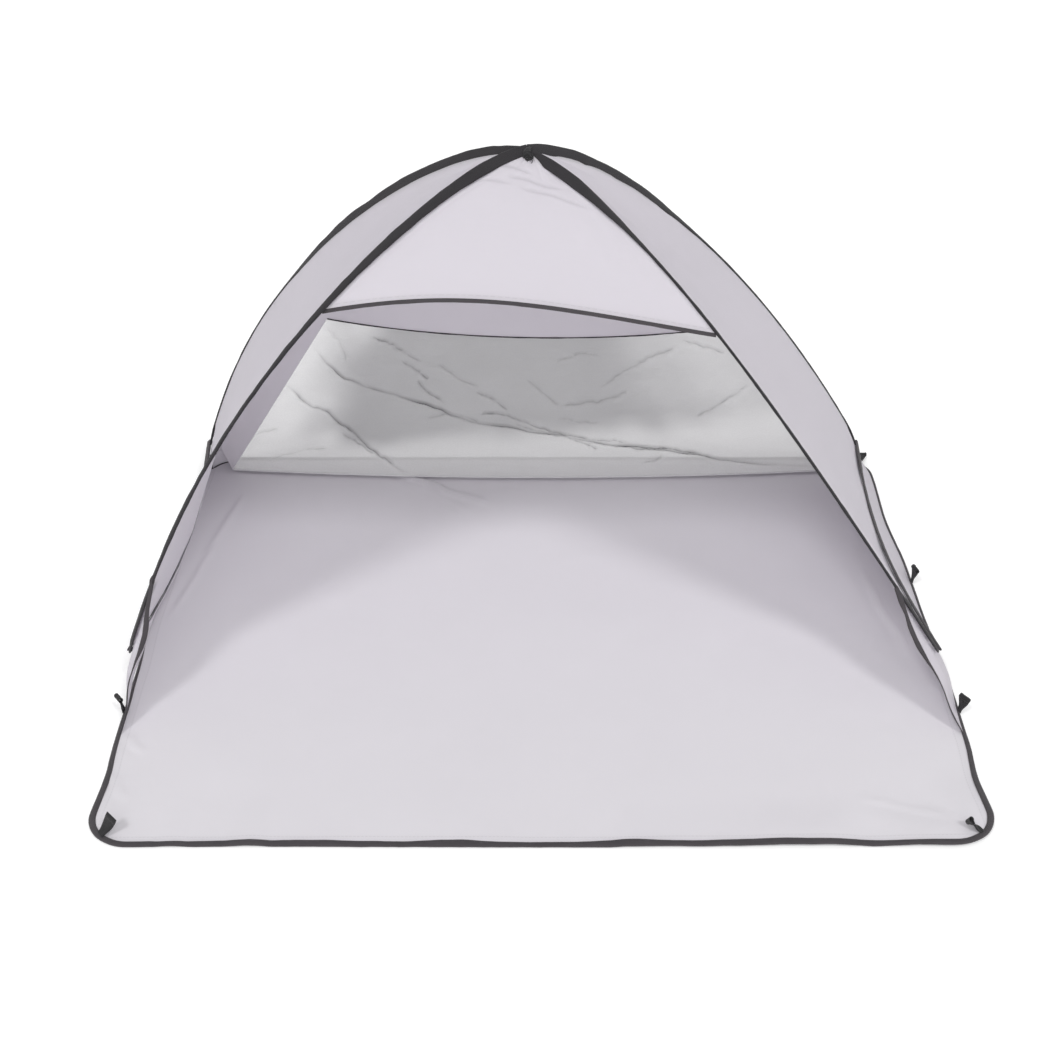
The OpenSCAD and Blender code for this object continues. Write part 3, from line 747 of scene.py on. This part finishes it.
def build_brow():
    rows, cols = 190, 170
    u = np.linspace(BROW_TOP, BROW_END, rows)[:, None]
    w = np.linspace(-1, 1, cols)[None]
    grid = brow_surface(u, w)
    n = normals(grid)
    n *= np.sign(n[..., 2:3])
    along = lengths(grid, 0)[:, None]
    x = grid[..., 0]
    drag = 0.006 * np.exp(-along / 0.16) * noise(w * 3 + along * 9, along * 16, 71)
    rays = 0.004 * np.exp(-along / 0.35) * noise(w * 7, along * 2, 73)
    soft = 0.004 * fractal(x * 2.4, along * 2.2, 75)
    near = np.exp(-(1 - np.abs(w)) * 12)
    pucker = 0.002 * near * noise(along * 18, w * 3, 77)
    hold = smooth((1 - np.abs(w)) / 0.04)
    lines = np.zeros(x.shape)
    for k, (start, tilt, left, right) in enumerate(((0.085, 0.022, -0.9, 0.2), (0.125, 0.030, -0.5, 0.7),
                                                    (0.165, 0.040, -0.2, 0.9), (0.150, 0.010, -0.9, -0.2))):
        path = start + tilt * w + 0.010 * noise(w * 3, k, 76)
        within = smooth((w - left) / 0.3) * smooth((right - w) / 0.3)
        lines = np.maximum(lines, within * bump(along, path, 0.007))
    grid = grid + n * (hold * (drag + rays + soft + pucker - 0.003 * lines))[..., None]
    spread = np.linalg.norm(grid[:, -1] - grid[:, 0], axis=1)[:, None] / 2
    seam = seam_mark((1 - np.abs(w)) * spread, along[-1] - along)
    # Painted shade along the crease lines.
    piece = cloth("brow_cloth", grid, CLOTH, seam=seam, fold=0.16 * hold * lines)
    hidden_in_fold(piece, "brow_panel")
    edge = grid[-1] + vec(0, 0.001, -0.004)
    tape = tube("brow_binding_tape", edge, (0, -0.75, 0.66), BROW_TAPE_HALF_W, 0.0022, BINDING,
                12, 3.0, 0.0008, 79)
    hidden_in_fold(tape, "brow_binding")


# ---- rear cloth and window
def hang(u, w):
    fall = (1 - w * w) * WINDOW_SAG * np.clip(u / WINDOW_TOP, 0, None)
    flat = mix(arch("rear", LEFT, u + fall), arch("rear", RIGHT, u + fall), ((w + 1) / 2)[..., None])
    drawn = 0.012 * (1 - w * w) * smooth(u / 0.3)
    return flat - drawn[..., None] * vec(0, 0.5, 1.0) - vec(0, 0, 0.003)


def sill(a):
    """Where the window meets the floor; a runs from -1 on the left to 1 on the right."""
    return stack(a * SILL_HALF, SILL_Y - SILL_PULL * (1 - a * a), SILL_Z)


def window_surface(a, b):
    """a from -1 to 1 across, b from 0 at the top seam to 1 at the sill."""
    a, b = np.broadcast_arrays(a, b)
    top = hang(np.full(a.shape, WINDOW_TOP), a * WINDOW_HALF)
    low = sill(a)
    belly = 0.030 * np.sin(np.pi * b) * (1 - a * a)
    return mix(top, low, b[..., None]) + belly[..., None] * vec(0, 0.9, -0.2)


# folds of the window: points across it and down it, height and width in millimetres, and the darkness of the
# painted shade along it
CREASES = [
    (((-0.98, 0.19), (-0.74, 0.36), (-0.54, 0.44), (-0.35, 0.52), (-0.21, 0.61), (-0.01, 0.66), (0.12, 0.71),
      (0.24, 0.76), (0.40, 0.79), (0.59, 0.87), (0.81, 0.95), (0.97, 0.98)), 8.5, 4.0, 0.95),
    (((-0.21, 0.56), (-0.11, 0.55), (-0.01, 0.62), (0.08, 0.67), (0.17, 0.71), (0.24, 0.76)), 5.0, 3.6, 0.60),
    (((0.18, 0.74), (0.27, 0.77), (0.36, 0.80), (0.48, 0.81)), 5.0, 3.6, 0.80),
    (((0.34, 0.83), (0.40, 0.79), (0.48, 0.81), (0.58, 0.86), (0.63, 0.88)), 5.0, 3.6, 0.85),
    (((-1, 0.41), (-0.80, 0.57), (-0.70, 0.65), (-0.60, 0.78), (-0.50, 0.90), (-0.42, 0.98)), 8.0, 4.2, 0.85),
    (((-0.70, 0.71), (-0.61, 0.79), (-0.51, 0.90)), 4.0, 3.6, 0.50),
    (((-1.00, 0.81), (-0.99, 0.75), (-0.93, 0.71)), 3.5, 3.6, 0.30),
    (((-0.90, 0.93), (-0.81, 0.85), (-0.72, 0.83)), 3.5, 3.6, 0.25),
    (((-0.74, 0.07), (-0.61, 0.12), (-0.47, 0.20)), 4.5, 3.8, 0.50),
    (((-0.56, 0.21), (-0.42, 0.31)), 4.5, 3.8, 0.50),
    (((-0.47, 0.33), (-0.34, 0.49)), 4.5, 3.8, 0.50),
    (((-0.40, 0.21), (-0.31, 0.29), (-0.21, 0.35)), 3.5, 4.0, 0.25),
    (((-0.22, 0.38), (-0.16, 0.44), (-0.09, 0.52)), 4.0, 3.8, 0.45),
    (((0.11, 0.48), (0.27, 0.45), (0.41, 0.38)), 4.0, 4.5, 0.30),
    (((0.62, 0.59), (0.76, 0.48), (0.93, 0.35)), 4.0, 4.0, 0.40),
    (((0.29, 0.36), (0.47, 0.21), (0.72, 0.09)), 3.5, 4.5, 0.32),
    (((0.77, 0.06), (0.93, 0.14)), 3.5, 4.0, 0.35),
    (((0.13, 0.19), (0.25, 0.11), (0.34, 0.13)), 3.5, 4.0, 0.20),
    (((-0.07, 0.62), (0.02, 0.65), (0.06, 0.69), (0.10, 0.72)), 3.5, 3.4, 0.50),
    (((0.12, 0.71), (0.18, 0.76), (0.22, 0.80)), 3.5, 3.4, 0.60),
    (((0.20, 0.735), (0.26, 0.735), (0.34, 0.755)), 3.5, 3.4, 0.50),
    (((0.36, 0.91), (0.40, 0.88), (0.44, 0.83)), 3.5, 3.4, 0.40),
    (((-0.40, 0.59), (-0.34, 0.56), (-0.27, 0.57), (-0.19, 0.62)), 3.0, 3.6, 0.35),
    (((-0.01, 0.28), (0.05, 0.38), (0.11, 0.48)), 3.0, 3.8, 0.22),
    (((0.10, 0.56), (0.18, 0.60), (0.25, 0.62)), 3.0, 3.8, 0.25),
    (((-0.98, 0.06), (-0.88, 0.12), (-0.80, 0.24)), 3.0, 4.0, 0.16),
]


def near_line(points, line):
    """Signed distance of points from a line in a plane, and the share of the line that is nearest."""
    best, share = np.full(points.shape[:-1], 9.0), np.zeros(points.shape[:-1])
    for i in range(len(line) - 1):
        p, d = line[i], line[i + 1] - line[i]
        t = np.clip(((points - p) @ d) / (d @ d), 0, 1)
        gap = points - p - t[..., None] * d
        distance = np.hypot(gap[..., 0], gap[..., 1]) * np.sign(gap[..., 1] + 1e-9)
        closer = np.abs(distance) < np.abs(best)
        best = np.where(closer, distance, best)
        share = np.where(closer, (i + t) / (len(line) - 1), share)
    return best, share


def window_folds(grid):
    """Heights of the sharp little folds along the crease lines, and the painted shade along them."""
    rows, cols = grid.shape[:2]
    total, fold = np.zeros((rows, cols)), np.zeros((rows, cols))
    reach = np.array([0.06, 0.08])
    for k, (line, tall, wide, dark) in enumerate(CREASES):
        tall, wide = tall / 1000, wide / 1000
        pts = resample(np.array(line), 60)
        pts[:, 1] += 0.010 * noise(pts[:, 0] * 14, k, 91) + 0.007 * noise(pts[:, 0] * 45, k, 92)
        low, high = pts.min(axis=0) - reach, pts.max(axis=0) + reach
        part = (slice(max(int(low[1] * rows), 0), int(high[1] * rows) + 1),
                slice(max(int((low[0] + 1) / 2 * cols), 0), int((high[0] + 1) / 2 * cols) + 1))
        world = window_surface(pts[:, 0], np.clip(pts[:, 1], 0, 1))
        away, share = near_line(grid[part][..., [0, 2]], world[:, [0, 2]])
        fade = smooth(share * 8 + 0.1) * smooth((1 - share) * 8 + 0.1)
        vary = 0.70 + 0.45 * noise(share * 13, k * 3.1, 93) + 0.25 * noise(share * 41, k, 94)
        vary = np.clip(vary, 0.12, 1.1)
        ridge = np.exp(-np.abs(away) / wide) - 0.45 * bump(away, -wide * 3.2, wide * 2.2)
        total[part] += tall * fade * vary * ridge
        line_mark = np.exp(-np.abs(away) / (0.50 * wide)) + 0.22 * bump(away, wide * 1.8, wide * 1.6)
        # Painted shade along each crease, with a fainter band beside it.
        fold[part] = np.maximum(fold[part], dark * fade * vary * line_mark)
    return total, np.clip(fold, 0, 1)


def window_light(a, b):
    """Where more of what is behind the mesh shows through and its threads get painted light: near its sill,
    left end and right part.
    """
    shift = 0.05 * noise(a * 4, b * 3, 87) + 0.03 * noise(a * 11, b * 8, 88)
    low = 0.74 * smooth((b + shift - 0.58 + 0.12 * a) / 0.22)
    left = smooth((-a + shift - 0.70 + 0.10 * b) / 0.34)
    right = 0.58 * smooth((a + shift - 0.30) / 0.55)
    corner = 0.45 * bump(a, -0.78, 0.10) * bump(b, 0.0, 0.16)
    return np.clip(1 - (1 - low) * (1 - left) * (1 - right) * (1 - corner), 0, 1)


def build_window():
    rows, cols = 260, 680
    b, a = np.meshgrid(np.linspace(0, 1, rows), np.linspace(-1, 1, cols), indexing="ij")
    grid = window_surface(a, b)
    n = normals(grid)
    n *= -np.sign(n[..., 1:2])
    hold = smooth(np.minimum(1 - np.abs(a), np.minimum(b, 1 - b)) / 0.03)
    x, z = grid[..., 0], grid[..., 2]
    slack = 0.006 * fractal(x * 2.0 + z * 2.2, z * 5 - x, 95)
    slack = slack + 0.0022 * fractal(x * 9 + z * 6, z * 16 - x * 5, 97, 3)
    height, fold = window_folds(grid)
    specks = 0.10 * smooth(noise(x * 90, z * 110, 85) * 2 - 0.9) * (1 - smooth(b))
    grid = grid + n * (hold * slack + smooth(hold * 3) * height)[..., None]
    grid = grid + vec(0, 0.004, 0)
    # Painted light: this mask paints the mesh's threads lighter near its sill and ends, and lets more show
    # through there; painted shade along its creases.
    piece = cloth("window_mesh", grid, MESH, thick=0.0006, fold=fold, thin=window_light(a, b) + specks)
    hidden_in_fold(piece, "mesh_window")
    forward, face = vec(0, -0.003, 0), (0, -0.6, 0.8)
    top = tube("window_top_tape", grid[0] + forward, face, 0.0055, 0.0018, BINDING, 10, 3.0, 0.0012, 99)
    hidden_in_fold(top, "mesh_top_binding")
    low = tube("window_sill_tape", grid[-1] + forward, face, 0.0030, 0.0016, SILL_TAPE_PAINTED_LIGHTER, 10, 3.0, 0.0008, 99)
    hidden_in_fold(low, "mesh_bottom_binding")


def build_back_panel():
    """One cloth with the window cut out: it hangs between the rear arches and runs down beside the window."""
    upper, lower, strip, middle = 80, 60, 22, 120
    rows, cols = upper + lower, 2 * strip + middle
    edge = np.linspace(-1, -WINDOW_HALF, strip, endpoint=False)
    w = np.concatenate([edge, np.linspace(-WINDOW_HALF, WINDOW_HALF, middle), -edge[::-1]])
    u = np.linspace(0.012, WINDOW_TOP, upper)
    grid = np.zeros((rows, cols, 3))
    grid[:upper] = hang(u[:, None], np.broadcast_to(w, (upper, cols)))
    t = np.linspace(0, 1, lower + 1)[1:]
    for where, side in ((slice(0, strip + 1), LEFT), (slice(cols - strip - 1, cols), RIGHT)):
        share = (np.abs(w[where]) - WINDOW_HALF) / (1 - WINDOW_HALF)
        outer = arch("rear", side, mix(WINDOW_TOP, 0.99, t)) - vec(0, 0, 0.003)
        inner = window_surface(float(side), t)
        grid[upper:, where] = mix(inner[:, None], outer[:, None], share[None, :, None])
    kept = np.ones((rows - 1, cols - 1), bool)
    kept[upper - 1:, strip:cols - strip - 1] = False
    grid[upper:, strip + 1:cols - strip - 1] = grid[upper - 1, strip + 1:cols - strip - 1]
    x, z = grid[..., 0], grid[..., 2]
    soft = 0.004 * fractal(x * 2.0, z * 3.0, 101) + 0.0015 * fractal(x * 8, z * 8, 103, 3)
    hold = np.zeros((rows, cols))
    hold[:upper] = smooth((1 - np.abs(w)) / 0.05)[None] * smooth((WINDOW_TOP - u) / 0.05)[:, None]
    grid = grid + (soft * hold)[..., None] * vec(0, 0.7, 0.7)
    reach = np.linalg.norm(grid[:, -1] - grid[:, 0], axis=1)[:, None] / 2
    seam = seam_mark((1 - np.abs(w))[None] * reach)
    piece = cloth("rear_cloth", grid, CLOTH, kept=kept, seam=seam)
    hidden_in_fold(piece, "back_panel")


def rear_foot_line(side, t):
    """From an end of the sill up the edge of the rear cloth to the foot of the rear arch."""
    t = np.asarray(t, float)[..., None]
    low = sill(side)
    high = arch("rear", side, 0.985) - vec(0, 0, 0.003)
    return mix(low, high, t) + np.sin(np.pi * t) * vec(0, 0.004, -0.012)


def build_rear_skirt():
    rows, middle, ends = 16, 200, 18
    t = np.linspace(0, 1, ends)
    a = np.linspace(-1, 1, middle)
    top = np.concatenate([rear_foot_line(LEFT, t[::-1]), sill(a)[1:-1], rear_foot_line(RIGHT, t)])
    share = np.concatenate([-1 - t[::-1], a[1:-1], 1 + t])
    foot_y = LINE_Y - BINDING_W / 2 + 0.002
    x = np.clip(share, -1, 1) * (LINE_X - LINE_R - 0.004)
    turn = np.clip(np.abs(share) - 1, 0, 1) * math.radians(62)
    reach = LINE_R - BINDING_W / 2 + 0.002
    foot = stack(x + np.sign(share) * reach * np.sin(turn), foot_y - reach * (1 - np.cos(turn)), 0.008)
    down = np.linspace(0, 1, rows)[:, None, None]
    grid = mix(top[None], foot[None], down)
    puff = np.sin(np.pi * down[..., 0]) * (1 + 0.6 * noise(share[None] * 5, down[..., 0] * 2, 105))
    grid[..., 2] += 0.004 * puff
    grid[..., 1] += 0.006 * puff * np.clip(np.abs(share) - 1, 0, 1)
    piece = cloth("rear_skirt_cloth", grid, CLOTH)
    hidden_in_fold(piece, "rear_skirt")


# ---- side skirts
def skirt_top(side, v):
    """Upper edge of a side skirt: inside the front foot, along the lobe's edge, then round its rear foot."""
    v = np.asarray(v, float)
    leave, joined = arch("front", side, SKIRT_LEAVE), lobe_edge(side, 0.10)
    t = np.clip(v / SKIRT_CORNER, 0, 1)[..., None]
    first = mix(leave, joined, t) + np.sin(np.pi * t) * vec(side * 0.012, 0, -0.024)
    first = first + smooth(t) * vec(side * -0.008, 0, 0.018)
    along = np.clip((v - SKIRT_CORNER) / (SKIRT_BACK - SKIRT_CORNER), 0, 1)
    edge = lobe_edge(side, mix(0.10, 1.0, along)) + vec(side * -0.008, 0, 0.018)
    return np.where(v[..., None] < SKIRT_CORNER, first, edge) - vec(side * 0.004, 0, 0.004)


def skirt_foot(side, v):
    """Lower edge of a side skirt: back along the base, then round its rear corner."""
    v = np.asarray(v, float)
    inner = BINDING_W / 2 - 0.003
    straight = np.clip(v / SKIRT_BACK, 0, 1)
    turn = np.clip((v - SKIRT_BACK) / (1 - SKIRT_BACK), 0, 1) * math.radians(30)
    y = mix(SKIRT_FRONT_Y, LINE_Y - LINE_R, straight) + (LINE_R - inner) * np.sin(turn)
    over = bump(v, 0.17, 0.07)
    x = HALF_W - 0.010 - (LINE_R - inner) * (1 - np.cos(turn)) + 0.008 * over
    return stack(side * x, y, 0.008 + BINDING_H * over)


def skirt_bulge(side, v, t):
    """Slack in a side skirt: it hangs out over the hoop near the front and is drawn in further back."""
    curve = np.sin(np.pi * t) * (1 - 0.5 * t)
    front = smooth((0.42 - v) / 0.35)
    folds = 0.010 * noise(v * 9, t * 2, 111 + side) + 0.005 * fractal(v * 26, t * 4, 113 + side)
    return curve * (mix(-0.010, 0.030, front) * smooth(v / 0.06) + folds)


def build_side_skirt(side):
    rows, cols = 60, 190
    v = np.linspace(0, 1, cols)
    t = np.linspace(0, 1, rows)[:, None]
    foot = skirt_foot(side, v)
    foot = foot + base_wave(foot) * vec(1, 0, 0)
    grid = mix(skirt_top(side, v)[None], foot[None], t[..., None])
    grid[..., 0] += side * skirt_bulge(side, v[None], t)
    loose = smooth(1 - v[None] / 0.12) * np.sin(np.pi * t)
    grid[..., 1] += 0.014 * loose * np.sin(2.4 * np.pi * t)
    grid[..., 0] += side * loose * (0.010 * np.sin(3.4 * np.pi * t + 0.6) - 0.004)
    piece = cloth("side_skirt_cloth_" + SIDES[side], grid, CLOTH, seam=seam_mark(lengths(grid, 1)))
    across_skirt(piece)
    stand_in("side_skirt_" + SIDES[side])
    down = t[:, 0]
    half_w = mix(0.0080, 0.0022, smooth((down - 0.40) / 0.20)) * (1 + 0.35 * noise(down * 9, side, 118))
    face = unit(stack(side * -0.35, mix(-1.0, 0.1, smooth((down - 0.5) / 0.3)), 0.45))
    half_w = half_w * smooth(0.3 + down / 0.06)
    line = grid[:, 0] + vec(0, -0.003, 0)
    line[:, 0] += side * 0.010 * (1 - smooth(down / 0.16))
    tape = tube("skirt_tape_" + SIDES[side], line, face, half_w, 0.0020, BINDING, 12, 3.0, 0.0012, 117)
    across_skirt(tape)
    stand_in("skirt_binding_" + SIDES[side])
    corner = tube("skirt_corner_piping_" + SIDES[side], grid[:, -1], (side, 0.6, 0.3),
                  PIPING_HALF_W, PIPING_HALF_T, BINDING, 10, 2.4, 0.0008, 119)
    across_skirt(corner)


# ---- webbing
def webbing_loop(spot, side, place, outward, lift, twist, curl=0.0, pinch=0.0):
    """Webbing doubled round an eye. It twists about its length, curls up and is pinched at the stitches."""
    half = LAYER * 0.55
    level = unit(outward)
    flat = np.cross(UP, level)
    turn = math.radians(lift)
    out = level * math.cos(turn) + UP * math.sin(turn)
    up = UP * math.cos(turn) - level * math.sin(turn)
    angles = np.linspace(math.radians(150), math.radians(-150), 30)
    bow = [(LOOP_LEN + EYE_R * math.cos(a), (EYE_R * 0.8 + half) * math.sin(a)) for a in angles]
    neck = [(0.0, half), (0.018, half * 1.1), (0.036, half * 1.9)]
    line = resample(neck + bow + [(x, -z) for x, z in neck[::-1]], 130)
    across = np.linspace(-LOOP_W / 2, LOOP_W / 2, 17)
    grid = np.zeros((len(line), len(across), 3))
    reach = line[:, 0] / (LOOP_LEN + EYE_R)
    angle = math.radians(twist) * smooth(reach)
    narrow = 1 - pinch * bump(reach, 0.1, 0.35)
    rise = curl * LOOP_LEN * reach ** 2
    for k, w in enumerate(across):
        sway = 0.0012 * noise(reach * 3, k * 0.35, 131 + side)
        y = w * narrow * np.cos(angle) - (line[:, 1] + sway) * np.sin(angle)
        z = w * narrow * np.sin(angle) + (line[:, 1] + sway) * np.cos(angle) + rise
        grid[:, k] = np.array(place) + line[:, :1] * out + y[:, None] * flat + z[:, None] * up
    grid = grid + base_wave(np.array(place, float)) * vec(1, 0, 0)
    node = "loop_%s_%s" % (spot, SIDES[side])
    piece = cloth("peg_" + node, grid, WEBBING, thick=LAYER)
    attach(piece, node)
    stand_in(node)
    for k, share in enumerate((0.10, 0.30)):
        row = int(share * len(line) * 0.42)  # the upper layer is the first 42 percent of the line
        top = grid[row] + normals(grid)[row] * -LAYER * 0.62
        name = "loop_stitch_%s_%s_%d" % (spot, SIDES[side], k)
        stitch = tube(name, top[1:-1], up, 0.0006, 0.0005, THREAD, 6, 2.0)
        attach(stitch, node)


def build_loops():
    reach = LINE_R / math.sqrt(2)
    out = (CORNER_R + 0.002) / math.sqrt(2)
    for side in SIDES:
        inward = vec(side * (LINE_X - LINE_R + reach), -(LINE_Y - LINE_R + reach), BINDING_H + 0.004)
        if side == LEFT:
            place = inward + vec(0.006, -0.012, 0)
            webbing_loop("front", side, place, (-side, 0.8, 0), FRONT_LIFT - 6, 40, curl=0.35, pinch=0.25)
        else:
            place = inward + vec(0, -0.008, 0)
            webbing_loop("front", side, place, (-side, 0.7, 0), FRONT_LIFT - 14, 66, curl=0.10, pinch=0.55)
        x = side * (HALF_W - 0.002)
        webbing_loop("side", side, (x, SIDE_LOOP_Y, LOOP_Z), (side, 0, 0), SIDE_LIFT, 40, pinch=0.3)
        webbing_loop("mid", side, (x, MID_LOOP_Y, LOOP_Z), (side, 0, 0), MID_LIFT, 12, pinch=0.4)
        corner = (side * (HALF_W - CORNER_R + out - 0.004), HALF_D - CORNER_R + out - 0.004, LOOP_Z)
        webbing_loop("rear", side, corner, (side * 0.5, 1, 0), REAR_LIFT, -20, pinch=0.2)


def build_apex_wrap():
    """Webbing round the crossing, drawn up in folds, with its knot and a small ring below the front."""
    rows, cols = 90, 15
    around = np.linspace(0, 2 * np.pi, rows)
    half_d, half_h = 0.030, 0.0145
    c, s = np.cos(around)[:, None], np.sin(around)[:, None]
    across = np.linspace(-1, 1, cols)[None]
    gather = 1 + 0.10 * noise(across * 3, 4 * c, 141) + 0.05 * np.sin(9 * across)
    gather = gather * (1 - 0.16 * across ** 2)
    grid = np.zeros((rows, cols, 3))
    grid[..., 0] = APEX[0] + 0.013 * across * (1 - 0.25 * s) + 0.006 * c
    grid[..., 1] = APEX[1] + half_d * np.sign(c) * np.abs(c) ** 0.75 * gather
    grid[..., 2] = APEX[2] - CROSSING_DROP / 2 + half_h * np.sign(s) * np.abs(s) ** 0.75 * gather
    piece = cloth("apex_wrap_webbing", grid, WEBBING, thick=0.0018)
    ride_side(piece, LEFT, "apex_wrap")
    knot_at = vec(APEX[0] + 0.002, APEX[1] - 0.034, APEX[2] - 0.011)
    t = np.linspace(0, 4 * np.pi, 150)
    out = 0.0075 + 0.0042 * np.cos(1.5 * t)
    coil = stack(out * np.cos(t), 0.0042 * np.sin(1.5 * t), out * np.sin(t))
    knot = tube("apex_knot", knot_at + coil, (0.15, -1.0, 0.3), 0.0036, 0.0022, WEBBING, 10, 2.2, 0.0008, 142)
    once = t[:75]
    ring_path = stack(0.0085 * np.cos(once), 0.002 * np.sin(once), 0.0085 * np.sin(once))
    ring_at = knot_at + vec(0.003, -0.003, -0.012)
    ring = tube("apex_ring", ring_at + ring_path, (0.1, -1.0, 0.1), 0.0011, 0.0011, WEBBING, 8, 2.0)
    for extra in (knot, ring):
        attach(extra, "side_left")


for side in SIDES:
    build_floor(side)
    build_base_binding(side)
    build_base_wire(side)
    build_side_panel(side)
    build_arch_sleeve("front", side)
    build_arch_sleeve("rear", side)
    build_edge_sleeve(side)
    build_side_skirt(side)
build_brow()
build_window()
build_back_panel()
build_rear_skirt()
build_loops()
build_apex_wrap()

for node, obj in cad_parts.items():
    if not obj.hide_render:
        obj.data.materials.clear()
        obj.data.materials.append(STEEL if "wire" in node or "ferrule" in node else FLOOR)


# ---- stage, lights and camera
def white_surface():
    n = Nodes("studio_white")
    body = n.add("ShaderNodeBsdfDiffuse", Color=(0.93, 0.93, 0.93, 1))
    glow = n.add("ShaderNodeEmission", Color=(1, 1, 1, 1), Strength=0.18)
    return n.output(n.add("ShaderNodeAddShader", i0=body, i1=glow))


def build_stage():
    size = 40.0
    mesh = bpy.data.meshes.new("studio_floor")
    corners = [(-size, -size, 0), (size, -size, 0), (size, size, 0), (-size, size, 0)]
    mesh.from_pydata(corners, [], [(0, 1, 2, 3)])
    mesh.materials.append(white_surface())
    into_scene("studio_floor", mesh)


def build_world(seen, fill):
    """White to the camera, and dimmer as a light on the shelter."""
    world = bpy.data.worlds.new("studio")
    world.use_nodes = True
    tree = world.node_tree
    tree.nodes.clear()
    path = tree.nodes.new("ShaderNodeLightPath")
    strength = tree.nodes.new("ShaderNodeMix")
    strength.inputs[2].default_value = fill
    strength.inputs[3].default_value = seen
    background = tree.nodes.new("ShaderNodeBackground")
    out = tree.nodes.new("ShaderNodeOutputWorld")
    tree.links.new(path.outputs["Is Camera Ray"], strength.inputs[0])
    tree.links.new(strength.outputs[0], background.inputs["Strength"])
    tree.links.new(background.outputs[0], out.inputs[0])
    bpy.context.scene.world = world


def build_light(name, azimuth, elevation, strength, softness):
    """A sun seen at these angles, in degrees, from the shelter. Azimuth 0 is the front."""
    lamp = bpy.data.lights.new(name, "SUN")
    lamp.energy = strength
    lamp.angle = math.radians(softness)
    a, e = math.radians(azimuth), math.radians(elevation)
    towards = Vector((math.sin(a) * math.cos(e), -math.cos(a) * math.cos(e), math.sin(e)))
    into_scene(name, lamp).rotation_euler = towards.to_track_quat("Z", "Y").to_euler()


def build_camera():
    lens, pitch, height, back = 50.0, 34.6, 3.28, 3.05
    camera = into_scene("camera", bpy.data.cameras.new("camera"))
    camera.data.lens = lens
    camera.data.sensor_width = 36.0
    camera.location = (-0.05, BASE_LOW.y - back, height)
    camera.rotation_euler = (math.radians(90 - pitch), 0, 0)
    bpy.context.scene.camera = camera


build_stage()
build_world(seen=1.0, fill=0.62)
for name, azimuth in (("key_left", -38), ("key_right", 38)):
    build_light(name, azimuth, elevation=53, strength=0.82, softness=12)
build_light("front_fill", 0, elevation=27, strength=0.70, softness=40)
build_camera()
bpy.context.scene.view_settings.view_transform = "Standard"
